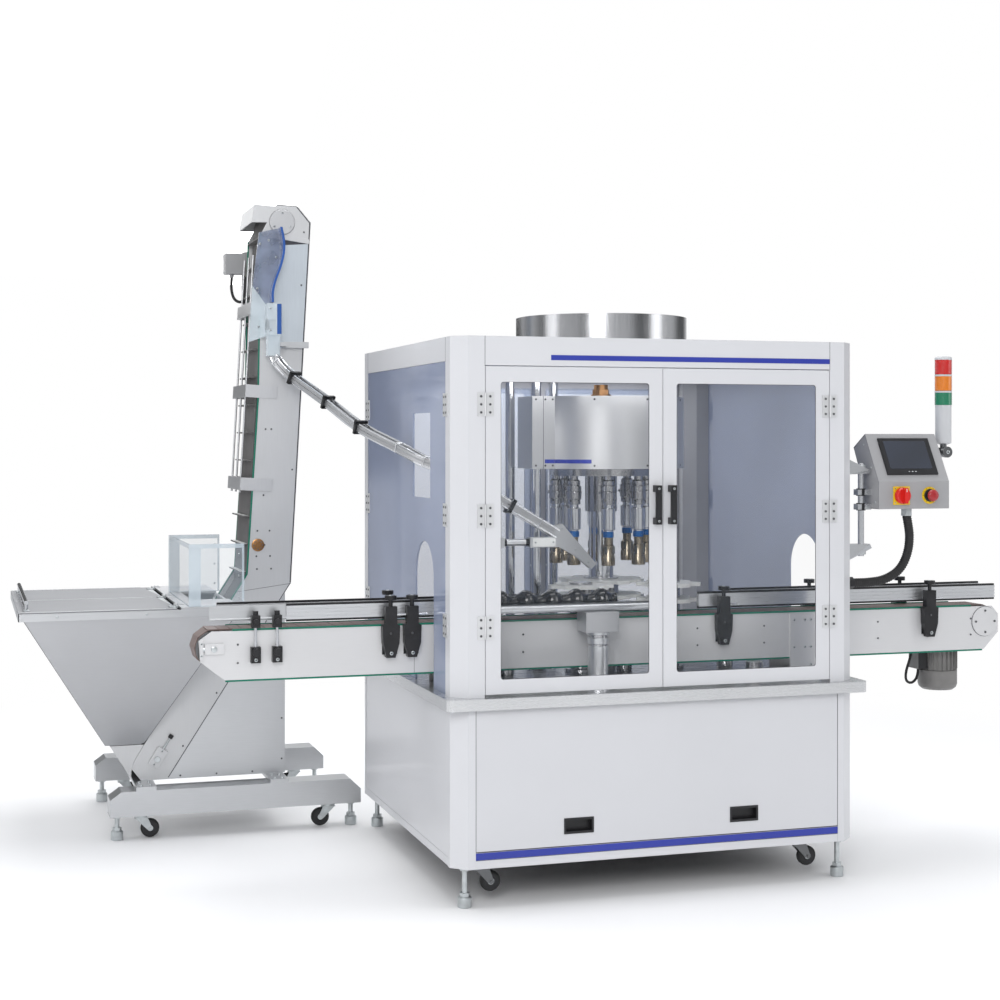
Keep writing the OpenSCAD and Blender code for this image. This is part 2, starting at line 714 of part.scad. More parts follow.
module isolator_switch() color("red") {
    bar_y(isolator_x, switch_z, 29, -16, 2);
    span([isolator_x - 7, isolator_x + 7], [-32, -16], [switch_z - 27, switch_z + 27]);
    bar_y(isolator_x, switch_z, 6, 2, 38);
}

module estop_button() color("red") {
    translate([estop_x, -28, switch_z]) rotate([-90, 0, 0]) rotate_extrude()
        polygon([[0, 0], [14, 0], [20, 5], [21, 12], [15, 18], [8, 21], [8, 78], [0, 78]]);
}

module panel_arm() color("silver") {
    translate([pole[0], pole[1], 1110]) cylinder(r = 11, h = 326);
    slab(pole[1] - 20, pole[1] + 20) polygon([[cab_w, 1450], [1533, 1412], [1533, 1400], [cab_w, 1397]]);
    slab(pole[1] - 20, pole[1] + 20) polygon([[cab_w, 1153], [1533, 1153], [1540, 1138], [cab_w, 1097]]);
    for (z = [1283, 1334]) span([1488, panel_x0], [pole[1] - 16, pole[1] + 16], [z - 10, z + 10]);
    translate([cab_w, pole[1], 1016]) rotate([0, 90, 0]) cylinder(r = 21, h = 25, $fn = 6);
}

conduit_r = 16;
conduit = smooth([[1677, 55, 1254], [1684, 55, 1218], [1690, 57, 1180], [1688, 60, 1135], [1675, 62, 1093],
                  [1655, 64, 1062], [1627, 66, 1040], [1585, 70, 1023], [1536, 73, 1017], [1505, 75, 1016],
                  [1475, 75, 1016]], 2);

module panel_conduit() color("black") sweep(conduit, conduit_r, 12);

module signal_tower() color("gainsboro") {
    translate([tower[0], tower[1], 0]) rotate_extrude()
        polygon([[0, 1487], [12, 1487], [12, 1500], [29, 1506], [29, 1640], [31, 1642], [31, 1812],
                 [28, 1818], [0, 1818]]);
    span([tower[0] - 10, tower[0] + 10], [tower[1] - 12, tower[1] + 12], [1462, 1487]);
    bar_y(tower[0], tower[2], 8, tower[1] + 12, tower[1] + 24);
    bar_y(tower[0], tower[2], 20, tower[1] - 30, tower[1] - 12);
}

// ---------------------------------------------------------------- elevator

module elevator_plate_outline() {
    polygon([[-335, 2425], [-322, 2446], [-242, 2443], [-187, 2379], [-267, 952], [-744, 212], [-748, 205],
             [-850, 205], [-885, 250], [-873, 285], [-496, 903], [-440, 990], [-396, 1674], [-385, 2330]]);
}

// A strip of sheet between two points of the XZ plane
module strip(a, b, t) {
    translate([a[0], a[1]]) rotate(atan2(b[1] - a[1], b[0] - a[0])) square([norm(b - a), t]);
}

module elevator_frame() color("gainsboro") {
    difference() {
        for (y = [elev_y0, elev_y1 - plate_t]) slab(y, y + plate_t) elevator_plate_outline();
        for (c = [head_shaft, tail_shaft]) bar_y(c[0], c[1], 15 + fit, elev_y0 - 1, elev_y1 + 1);
    }
    inner = [elev_y0 + plate_t, elev_y1 - plate_t];
    slab(inner[0], inner[1]) {
        strip([-268, 955], [-189, 2376], 4);
        strip([-242, 2434], [-190, 2374], 4);
        strip([-322, 2441], [-242, 2438], 4);
        strip([-744, 213], [-268, 952], 4);
    }
    // Hood over the head, cover discs on the shafts and the boot plate below the hopper
    slab(inner[0], inner[1]) polygon([[-424, 2372], [-411, 2443], [-340, 2439], [-340, 2433], [-406, 2437],
                                      [-418, 2372]]);
    for (y = [elev_y0, elev_y1 - plate_t]) slab(y, y + plate_t)
        polygon([[-424, 2372], [-411, 2443], [-326, 2438], [-338, 2414], [-358, 2374]]);
    for (y = [elev_y0 - 4, elev_y1]) bar_y(head_shaft[0], head_shaft[1], 50, y, y + 4);
    for (y = [elev_y0 - 12, elev_y1]) slab(y, y + 12) translate(tail_shaft) rotate(90 - incline)
        translate([-30, -22]) square([75, 44]);
    slab(inner[0], inner[1]) strip([-884, 217], [-964, 343], 3);
    for (y = [elev_y0, elev_y1 - plate_t]) slab(y, y + plate_t)
        polygon([[-968, 343], [-839, 343], [-874, 285], [-885, 250], [-888, 216]]);
}

module elevator_base() color("silver") {
    for (y = beam_ys) slab(y, y + beam_w) polygon([[-977, beam_z0], [-977, 160], [-935, beam_z1],
        [-56, beam_z1], [-14, 150], [-14, beam_z0]]);
    for (x = [[-880, -805], [-370, -300]]) span(x, [beam_ys[0], beam_ys[1] + beam_w], [beam_z1, 205]);
    // Sheet cover below the slope
    for (y = [elev_y0, elev_y1 - 5]) slab(y, y + 5)
        polygon([[-744, 211.6], [-747, 205], [-291, 205], [-291, 914.4]]);
    span([-296, -291], [elev_y0 + 5, elev_y1 - 5], [205, 900]);
}

function arc(c, r, a0, a1, n) = [for (k = [0 : n]) let (a = a0 + (a1 - a0) * k / n) c + r * [cos(a), sin(a)]];

// The belt's run, r out from the line through its two shafts and the bend between them
module elevator_run(r) {
    slope_a = 90 - incline;
    column_a = 90 - elev_lean;
    mid_a = (slope_a + column_a) / 2 + 90;
    polygon(concat(arc(tail_shaft, r, slope_a + 90, slope_a + 270, 24),
                   arc(bend, r, slope_a - 90, column_a - 90, 4),
                   arc(head_shaft, r, column_a - 90, column_a + 90, 24),
                   [bend + r / cos((column_a - slope_a) / 2) * [cos(mid_a), sin(mid_a)]]));
}

module elevator_belt() color("dimgray") {
    belt_in = [elev_y0 + 16, elev_y1 - 16];
    slab(belt_in[0], belt_in[1]) difference() {
        elevator_run(elev_r);
        elevator_run(elev_r - 4);
    }
    // Cleats on the rising side: along the column, then along the slope
    column_run = norm(head_shaft - bend);
    slope_run = norm(bend - tail_shaft);
    cleat = 24;
    for (s = [60 : 110 : column_run - 40]) translate([bend[0], 0, bend[1]]) rotate([0, elev_lean, 0])
        span([-elev_r - cleat, -elev_r + 1], [belt_in[0] + 4, belt_in[1] - 4], [s, s + 5]);
    for (s = [60 : 110 : slope_run - 60]) translate([tail_shaft[0], 0, tail_shaft[1]]) rotate([0, incline, 0])
        span([-elev_r - cleat, -elev_r + 1], [belt_in[0] + 4, belt_in[1] - 4], [s, s + 5]);
}

module elevator_pulley(c) {
    bar_y(c[0], c[1], elev_r - 4 - gap, elev_y0 + 16, elev_y1 - 16);
    bar_y(c[0], c[1], 15, elev_y0 + 1, elev_y1 - 1);
}

module elevator_drive_pulley() color("darkgray") elevator_pulley(head_shaft);
module elevator_tail_pulley() color("darkgray") elevator_pulley(tail_shaft);

elev_cable = smooth([[-440, 1825, 2190], [-441, 1825, 2176], [-442, 1824, 2155], [-440, 1822, 2130],
                     [-434, 1818, 2108], [-424, 1812, 2094], [-410, 1806, 2088], [-396, 1800, 2090]], 2);

module elevator_motor() color("gray") {
    y0 = elev_y1;
    span([-372, -232], [y0, y0 + 46], [2170, 2300]);
    translate([-345, y0 + 85, 2080]) cylinder(r = 52, h = 215);
    span([-397, -300], [y0 + 46, y0 + 80], [2190, 2290]);
    span([-470, -392], [y0 + 50, y0 + 120], [2205, 2285]);
    translate([-440, y0 + 85, 2190]) cylinder(r = 9, h = 15);
    span([-400, -380], [y0 + 44, y0 + 76], [2082, 2098]);
    sweep(elev_cable, 6);
}

// Sorting track on the front of the elevator: clear face, blue S-shaped edge, block and chute mouth
track_curve = smooth([[-313, 2350], [-303, 2300], [-303, 2250], [-316, 2195], [-336, 2140], [-346, 2095],
                      [-346, 2054]], 3);

module cap_track() color("lightsteelblue") {
    face_y = 1396;
    slab(face_y - 6, face_y) polygon(concat([for (p = track_curve) [p[0], p[1]]],
        [[-352, 1930], [-438, 1900], [-424, 2120], [-398, 2330]]));
    slab(face_y - 46, face_y - 6) polygon(concat([for (p = track_curve) [p[0] - 9, p[1]]],
        [for (i = [len(track_curve) - 1 : -1 : 0]) [track_curve[i][0], track_curve[i][1]]]));
    for (p = [[-395, 2280], [-405, 2100]]) bar_y(p[0], p[1], 7, face_y, elev_y0);
    span([-374, -318], [face_y - 56, face_y], [1926, 2050]);
    span([-374, -330], [face_y, elev_y0], [1950, 1990]);
    span([-372, -322], [face_y - 44, face_y - 4], [1846, 1926]);
    span([-300, -200], [elev_y0 - 22, elev_y0], [1880, 1904]);
    span([-322, -290], [face_y - 30, face_y + 4], [1884, 1900]);
    span([-322, -296], [face_y + 4, elev_y0], [1884, 1900]);
}

chute = smooth([[-338, 1374, 1846], [-322, 1358, 1812], [-278, 1292, 1758], [-186, 1092, 1660],
                [-116, 850, 1564], [-40, 560, 1490], [24, 446, 1442], [95, 408, 1414], [172, 398, 1380],
                [281, 400, 1308], [390, 410, 1246], [494, 420, 1186]], 3);
chute_half = 14;

// A clamp round the chute at point i of its path
module chute_clamp(i) {
    d = heading(chute, i);
    s = side_of(d);
    u = cross(s, d);
    c = chute[i];
    half = chute_half + 10;
    multmatrix([[s[0], d[0], u[0], c[0]], [s[1], d[1], u[1], c[1]], [s[2], d[2], u[2], c[2]], [0, 0, 0, 1]])
        difference() {
            cube([2 * half, 12, 2 * half], center = true);
            cube([2 * chute_half, 14, 2 * chute_half], center = true);
        }
}

module cap_chute() color("silver") {
    for (a = [-1, 1], b = [-1, 1]) sweep(chute, 4, 8, [a * chute_half, b * chute_half]);
    for (i = [6, 9, 12, 28]) chute_clamp(i);
    // Pick-off arm with its plate and cylinder, held by a post on the table
    slab(404, 412) polygon([[486, 1214], [512, 1222], [640, 1078], [622, 1060], [560, 1108], [500, 1140],
                            [392, 1140], [392, 1176], [470, 1176]]);
    slab(430, 438) polygon([[486, 1214], [512, 1222], [640, 1078], [622, 1060], [500, 1160], [470, 1180]]);
    bar_x(424, 1158, 11, 300, 392);
    span([392, 400], [404, 440], [1140, 1176]);
    span([270, 300], [408, 486], [1140, 1176]);
    translate([285, 474, table_z]) cylinder(r = 11, h = 456);
    bar_y(498, 1200, 5, 412, 430);
    bar_y(622, 1080, 5, 412, 430);
}

// ---------------------------------------------------------------- guides, hopper

module elevator_guides() color("gainsboro") {
    // Guide rods and their U-shaped brackets, in line with the leaning column
    reach = 104;
    translate([bend[0], 0, bend[1]]) rotate([0, elev_lean, 0]) {
        for (y = [1470, 1580, 1690]) translate([-reach + 6, y, 375]) cylinder(r = 4, h = 940);
        for (s = [385, 751, 1075]) {
            for (y = [elev_y0 - 4, elev_y1]) span([-reach - 3, 18], [y, y + 4], [s, s + 50]);
            span([-reach - 3, -reach + 2], [elev_y0, elev_y1], [s, s + 50]);
        }
    }
    // Clear guard box over the hopper's fixed cover
    guard_x = [-706, -500];
    guard_y = [1112, 1764];
    guard_z = [hop_z + 8, 1130];
    span([guard_x[0], guard_x[0] + 5], guard_y, guard_z);
    for (y = [guard_y[0], guard_y[1] - 5]) span([guard_x[0] + 5, guard_x[1]], [y, y + 5], guard_z);
}

// A box that tapers from its top corners to its bottom ones
module frustum(top, low) {
    polyhedron(points = concat(
        [for (p = [[0, 2], [1, 2], [1, 3], [0, 3]]) [low[p[0]], low[p[1]], low[4]]],
        [for (p = [[0, 2], [1, 2], [1, 3], [0, 3]]) [top[p[0]], top[p[1]], top[4]]]),
        faces = [[0, 1, 2, 3], [7, 6, 5, 4], [0, 4, 5, 1], [1, 5, 6, 2], [2, 6, 7, 3], [3, 7, 4, 0]]);
}

module hopper() color("lightgray") {
    wall = 4;
    low_z = 345;
    difference() {
        frustum([hop_x0, hop_x1, hop_y0, hop_y1, hop_z], [-985, -840, elev_y0, elev_y1, low_z]);
        frustum([hop_x0 + wall, hop_x1 - wall, hop_y0 + wall, hop_y1 - wall, hop_z + 1],
                [-985 + wall, -840 - wall, elev_y0 + wall, elev_y1 - wall, low_z - 1]);
        // The belt's slope closes this opening
        slab(elev_y0 - 2, elev_y1 + 2) polygon([[-500, 884], [-530, 884], [-870, 310], [-800, 310]]);
    }
    // Fixed part of the cover, with the gap that the belt comes up through
    difference() {
        span([lid_hinge_x + 8, hop_x1], [hop_y0 - 3, hop_y1 + 3], [hop_z, hop_z + 8]);
        span([-660, -500], [1404, 1756], [hop_z - 1, hop_z + 9]);
    }
    for (y = [1180, 1580, 1980]) {
        bar_y(lid_hinge_x, hop_z + 6, 5, y + 22, y + 64);
        span([lid_hinge_x, lid_hinge_x + 30], [y + 22, y + 64], [hop_z + 8, hop_z + 11]);
    }
}

module hopper_lid() color("lightgray") {
    span([hop_x0 - 3, lid_hinge_x - 7], [hop_y0 - 3, hop_y1 + 3], [hop_z + 1, hop_z + 4]);
    for (y = [1180, 1580, 1980]) {
        bar_y(lid_hinge_x, hop_z + 6, 5, y - 22, y + 21);
        span([lid_hinge_x - 30, lid_hinge_x], [y - 22, y + 21], [hop_z + 4, hop_z + 7]);
    }
    for (y = [1180, 1980]) translate([-1285, y, hop_z + 4]) cylinder(r = 6, h = 30);
    bar_y(-1285, hop_z + 34, 8, 1170, 1990);
}

// ---------------------------------------------------------------- the assembly

translate(origin) {
    base_frame();
    levelling_feet();
    worktop();
    guard_frame();
    roof_drum();
    side_windows();
    table_fittings();
    conveyor_frame();
    conveyor_belt();
    conveyor_gearmotor();
    guide_rails();
    rail_brackets();
    control_box();
    panel_arm();
    panel_conduit();
    elevator_frame();
    elevator_base();
    hopper();
    elevator_belt();
    elevator_motor();
    cap_track();
    cap_chute();
    elevator_guides();
    drive_gearbox();
    caster_forks();
    lower_front_panel();
    front_door_left();
    front_door_right();
    rear_door_left();
    rear_door_right();
    head_housing();
    turret_carrier();
    main_star();
    infeed_star();
    discharge_star();
    timing_screw();
    conveyor_drive_roller();
    conveyor_tail_roller();
    elevator_drive_pulley();
    elevator_tail_pulley();
    isolator_switch();
    estop_button();
    hopper_lid();
    signal_tower();
    for (i = [1 : head_count]) capping_head(i);
    for (i = [1 : 8]) caster_wheel(i);
}
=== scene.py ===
import bpy
import bmesh
import math
from mathutils import Matrix, Vector


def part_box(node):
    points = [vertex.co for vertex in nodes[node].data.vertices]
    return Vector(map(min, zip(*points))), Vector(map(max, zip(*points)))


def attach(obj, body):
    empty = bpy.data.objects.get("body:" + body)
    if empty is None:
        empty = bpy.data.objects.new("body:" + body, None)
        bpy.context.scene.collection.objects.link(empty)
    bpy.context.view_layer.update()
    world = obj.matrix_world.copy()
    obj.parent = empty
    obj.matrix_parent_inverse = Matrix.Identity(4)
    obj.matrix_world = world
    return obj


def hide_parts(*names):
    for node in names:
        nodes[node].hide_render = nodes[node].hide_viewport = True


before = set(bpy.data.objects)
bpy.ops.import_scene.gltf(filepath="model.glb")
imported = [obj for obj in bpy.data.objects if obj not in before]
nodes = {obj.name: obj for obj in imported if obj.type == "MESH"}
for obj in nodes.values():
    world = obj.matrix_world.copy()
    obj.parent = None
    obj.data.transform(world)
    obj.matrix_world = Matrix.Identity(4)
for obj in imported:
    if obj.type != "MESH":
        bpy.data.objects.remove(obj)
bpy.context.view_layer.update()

# The corner of the cabinet that all places below are measured from, in millimetres
RIM = 29
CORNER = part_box("worktop")[0] + Vector((RIM, RIM, 0)) * 0.001
CORNER.z = 0
FRONT, REAR, UP, DOWN = (0, -1, 0), (0, 1, 0), (0, 0, 1), (0, 0, -1)


def at(x, y, z):
    return Vector((x, y, z)) * 0.001 + CORNER


# ------------------------------------------------------------------ materials

def link(tree, a, out, b, into):
    tree.links.new(a.outputs[out], b.inputs[into])


def add_node(tree, kind, **values):
    """A new shader node with these input values."""
    made = tree.nodes.new("ShaderNode" + kind)
    for name, value in values.items():
        made.inputs[name.replace("_", " ")].default_value = value
    return made


def set_ends(ramp, low_at, low, high_at, high):
    """Places and colours of the two ends of a colour ramp."""
    for stop, place, colour in zip(ramp.color_ramp.elements, (low_at, high_at), (low, high)):
        stop.position = place
        stop.color = (*colour, 1)


def material(name, colour, metallic=0.0, rough=0.4, grain=None, grain_size=700, bump=0.05, mottle=0.05,
             mottle_size=3.0, rough_swing=0.08, coat=0.0, alpha=1.0, edge=0.0012, specular=0.5):
    """A material from noise: grain is the axis the surface was brushed along, or None for an even texture."""
    m = bpy.data.materials.new(name)
    m.use_nodes = True
    t = m.node_tree
    shader = t.nodes["Principled BSDF"]
    coords = add_node(t, "TexCoord")
    # Fine texture
    stretch = {"x": (0.02, 1, 1), "y": (1, 0.02, 1), "z": (1, 1, 0.02), None: (1, 1, 1)}[grain]
    mapping = add_node(t, "Mapping", Scale=[s * grain_size for s in stretch])
    link(t, coords, "Object", mapping, "Vector")
    fine = add_node(t, "TexNoise", Scale=1.0, Detail=3.0)
    link(t, mapping, "Vector", fine, "Vector")
    # Broad unevenness
    broad = add_node(t, "TexNoise", Scale=mottle_size, Detail=2.0)
    link(t, coords, "Object", broad, "Vector")
    ramp = add_node(t, "ValToRGB")
    low = [max(0.0, c * (1 - mottle)) for c in colour]
    high = [min(1.0, c * (1 + mottle)) for c in colour]
    set_ends(ramp, 0.3, low, 0.7, high)
    if grain:
        mixed = add_node(t, "Mix", Factor=0.45)
        link(t, broad, "Fac", mixed, "A")
        link(t, fine, "Fac", mixed, "B")
        link(t, mixed, "Result", ramp, "Fac")
    else:
        link(t, broad, "Fac", ramp, "Fac")
    link(t, ramp, "Color", shader, "Base Color")
    swing = add_node(t, "MapRange", To_Min=max(0.02, rough - rough_swing),
                     To_Max=min(1.0, rough + rough_swing))
    link(t, fine if grain else broad, "Fac", swing, "Value")
    link(t, swing, "Result", shader, "Roughness")
    bumped = add_node(t, "Bump", Strength=bump, Distance=0.001)
    link(t, fine, "Fac", bumped, "Height")
    if edge:
        rounded = add_node(t, "Bevel", Radius=edge)
        rounded.samples = 4
        link(t, rounded, "Normal", bumped, "Normal")
    link(t, bumped, "Normal", shader, "Normal")
    for socket, value in (("Metallic", metallic), ("Coat Weight", coat), ("Coat Roughness", 0.08),
                          ("Specular IOR Level", specular), ("Alpha", alpha), ("IOR", 1.45)):
        shader.inputs[socket].default_value = value
    m.diffuse_color = (*colour, 1)
    return m


def lens(name, colour, mottle=0.12):
    """The coloured plastic of a lamp, with fine upright ribs."""
    return material(name, colour, rough=0.18, grain="z", grain_size=700, bump=0.2, mottle=mottle, coat=0.7)


def clear_sheet(name, colour, rough, alpha, mottle=0.05, specular=0.5):
    """Smooth acrylic sheet: alpha is how much it hides."""
    return material(name, colour, rough=rough, grain_size=3, bump=0.0, mottle=mottle, rough_swing=0.02,
                    alpha=alpha, edge=0, specular=specular)


PAINT = material("paint", (0.63, 0.635, 0.66), rough=0.36, grain_size=900, mottle=0.012, coat=0.15)
PAINT_WARM = material("paint_panel", (0.61, 0.615, 0.64), grain_size=900, mottle=0.012)
PLATE = material("plate_steel", (0.64, 0.64, 0.65), metallic=0.35, rough=0.42, grain="x", mottle=0.03,
                 rough_swing=0.06)
STEEL = material("steel_brushed_x", (0.55, 0.56, 0.575), metallic=0.9, rough=0.34, grain="x", grain_size=900,
                 bump=0.12, mottle=0.07)
STEEL_Z = material("steel_brushed_z", (0.56, 0.565, 0.58), metallic=0.9, rough=0.34, grain="z",
                   grain_size=900, bump=0.12, mottle=0.07)
STEEL_SATIN = material("steel_satin", (0.5, 0.505, 0.52), metallic=0.85, rough=0.42, grain="x", bump=0.08)
CHROME = material("chrome", (0.72, 0.73, 0.75), metallic=1.0, rough=0.1, grain_size=200, bump=0.02,
                  mottle=0.03, rough_swing=0.04)
DRUM = material("drum_steel", (0.42, 0.425, 0.44), metallic=1.0, rough=0.22, grain="z", grain_size=500,
                bump=0.08, mottle=0.16, rough_swing=0.05)
TABLE = material("worktop_steel", (0.66, 0.665, 0.675), metallic=0.9, rough=0.27, grain="x", grain_size=900,
                 bump=0.1)
LID = material("lid_steel", (0.27, 0.275, 0.29), metallic=0.8, rough=0.5, grain="x", bump=0.1, mottle=0.06)
ELEVATOR = material("elevator_steel", (0.56, 0.565, 0.575), metallic=0.5, grain="z", bump=0.06,
                    rough_swing=0.06)
# Painted light: a lighter blue-grey standing in for light on the inner face of the elevator's far wall
PAINTED_LIGHT_SHEET = material("elevator_painted_light", (0.52, 0.565, 0.61), metallic=0.6, rough=0.34, grain="z", bump=0.06,
                 mottle=0.08, mottle_size=5)
HINGE = material("hinge_steel", (0.66, 0.665, 0.675), metallic=0.45, rough=0.36, grain_size=400)
HOUSING = material("housing_steel", (0.6, 0.605, 0.62), metallic=0.7, rough=0.3, grain="x", grain_size=900,
                   mottle=0.04, rough_swing=0.05)
# Painted shade: a darker blue-grey put in place of the white paint on inner faces at the rear, where shade
# falls
PAINTED_SHADE = material("painted_shade_inside", (0.34, 0.345, 0.375), rough=0.45, grain_size=900, mottle=0.03)
TURNED = material("turned_steel", (0.5, 0.5, 0.51), metallic=1.0, rough=0.17, grain="x", grain_size=900,
                  bump=0.06, mottle=0.08, mottle_size=20)
DARK_STEEL = material("dark_steel", (0.16, 0.165, 0.17), metallic=0.9, rough=0.35, grain="x", bump=0.08,
                      mottle=0.1)
ZINC = material("zinc", (0.52, 0.55, 0.56), metallic=0.85, rough=0.33, grain_size=120, mottle=0.12,
                mottle_size=40)
BRASS = material("brass", (0.36, 0.19, 0.085), metallic=1.0, rough=0.3, grain="z", grain_size=600,
                 mottle=0.12, mottle_size=30)
BRONZE = material("chuck_bronze", (0.33, 0.285, 0.22), metallic=1.0, rough=0.26, grain="z", grain_size=600,
                  mottle=0.25, mottle_size=60)
ALU = material("aluminium", (0.66, 0.67, 0.69), metallic=0.85, rough=0.3, grain="x", grain_size=900, bump=0.1,
               mottle=0.04)
BLACK = material("black_plastic", (0.012, 0.012, 0.014), rough=0.38, grain_size=500, bump=0.12, mottle=0.25,
                 mottle_size=30)
BLACK_GLOSS = material("black_gloss", (0.01, 0.01, 0.012), rough=0.16, grain_size=60, bump=0.03, mottle=0.3,
                       coat=0.5)
RUBBER = material("rubber", (0.014, 0.014, 0.015), rough=0.6, bump=0.2, mottle=0.3, mottle_size=60)
BLUE = material("stripe_blue", (0.028, 0.045, 0.33), rough=0.35, bump=0.03, mottle=0.06, edge=0)
BLUE_RING = material("blue_ring", (0.02, 0.12, 0.36), metallic=0.5, rough=0.3, grain_size=400, bump=0.04,
                     mottle=0.15)
BLUE_EDGE = material("track_blue", (0.008, 0.07, 0.3), rough=0.22, grain_size=300, bump=0.03, mottle=0.12,
                     coat=0.6)
SEAM = material("seam", (0.05, 0.05, 0.06), rough=0.7, grain_size=300, bump=0.04, mottle=0.2, edge=0)
GREEN = material("wear_strip", (0.0, 0.16, 0.1), grain="x", grain_size=500, bump=0.04, mottle=0.15)
SLAT = material("slat_plastic", (0.17, 0.125, 0.115), rough=0.5, grain="y", grain_size=500, bump=0.15,
                mottle=0.18, mottle_size=12)
BELT = material("belt_rubber", (0.12, 0.115, 0.115), rough=0.62, grain_size=350, bump=0.3, mottle=0.2,
                mottle_size=8)
WHITE = material("white_plastic", (0.74, 0.75, 0.74), rough=0.45, grain_size=500, bump=0.06, mottle=0.03)
GREY = material("box_paint", (0.33, 0.33, 0.34), rough=0.45, grain_size=1200, bump=0.15, mottle=0.03,
                coat=0.05)
MOTOR = material("motor_grey", (0.2, 0.195, 0.19), metallic=0.25, rough=0.42, grain_size=250, bump=0.18,
                 mottle=0.12, mottle_size=20)
SCREEN = material("screen", (0.012, 0.018, 0.035), rough=0.08, grain_size=30, bump=0.005, mottle=0.3,
                  coat=1.0)
YELLOW = material("yellow", (0.75, 0.5, 0.01), rough=0.32, grain_size=500, bump=0.04, mottle=0.04, coat=0.2)
RED = material("red", (0.62, 0.012, 0.008), rough=0.28, grain_size=400, bump=0.04, mottle=0.06, coat=0.4)
RED_DARK = material("red_dark", (0.34, 0.015, 0.02), rough=0.32, grain_size=400, bump=0.04, mottle=0.08,
                    coat=0.3)
LENS_RED = lens("lens_red", (0.55, 0.008, 0.006))
LENS_AMBER = lens("lens_amber", (0.72, 0.2, 0.005), mottle=0.1)
LENS_GREEN = lens("lens_green", (0.0, 0.19, 0.09))
LAMP_GREY = material("lamp_grey", (0.55, 0.56, 0.58), rough=0.3, grain_size=300, bump=0.04, mottle=0.04,
                     coat=0.3)
TINT = clear_sheet("acrylic_tinted", (0.31, 0.36, 0.5), 0.12, 0.7, specular=0.6)
TINT_LIGHT = clear_sheet("acrylic_light", (0.42, 0.5, 0.68), 0.08, 0.34, mottle=0.04)
CLEAR = clear_sheet("acrylic_clear", (0.25, 0.29, 0.33), 0.04, 0.035, specular=0.4)
GUARD = clear_sheet("guard_clear", (0.55, 0.62, 0.68), 0.06, 0.16)
CLEAR_EDGE = material("acrylic_edge", (0.72, 0.8, 0.85), rough=0.12, grain_size=20, bump=0.02, alpha=0.5,
                      edge=0)
TRACK = material("track_clear", (0.24, 0.28, 0.38), rough=0.08, grain_size=12, mottle=0.25, mottle_size=14,
                 rough_swing=0.03, alpha=0.55, edge=0)

# ------------------------------------------------------------------ mesh code

ARC_STEPS = 6


def round_corners(x, z, r):
    """The outline of a rectangle with round corners, anticlockwise from its right side."""
    points = []
    for cx, cz, start in ((x[1] - r, z[1] - r, 0), (x[0] + r, z[1] - r, 90), (x[0] + r, z[0] + r, 180),
                          (x[1] - r, z[0] + r, 270)):
        for k in range(ARC_STEPS + 1):
            a = math.radians(start + 90 * k / ARC_STEPS)
            points.append((cx + r * math.cos(a), cz + r * math.sin(a)))
    return points


def around_point(x, z, r, degrees):
    """A point on a circle about (x, z)."""
    t = math.radians(degrees)
    return x + r * math.cos(t), z + r * math.sin(t)


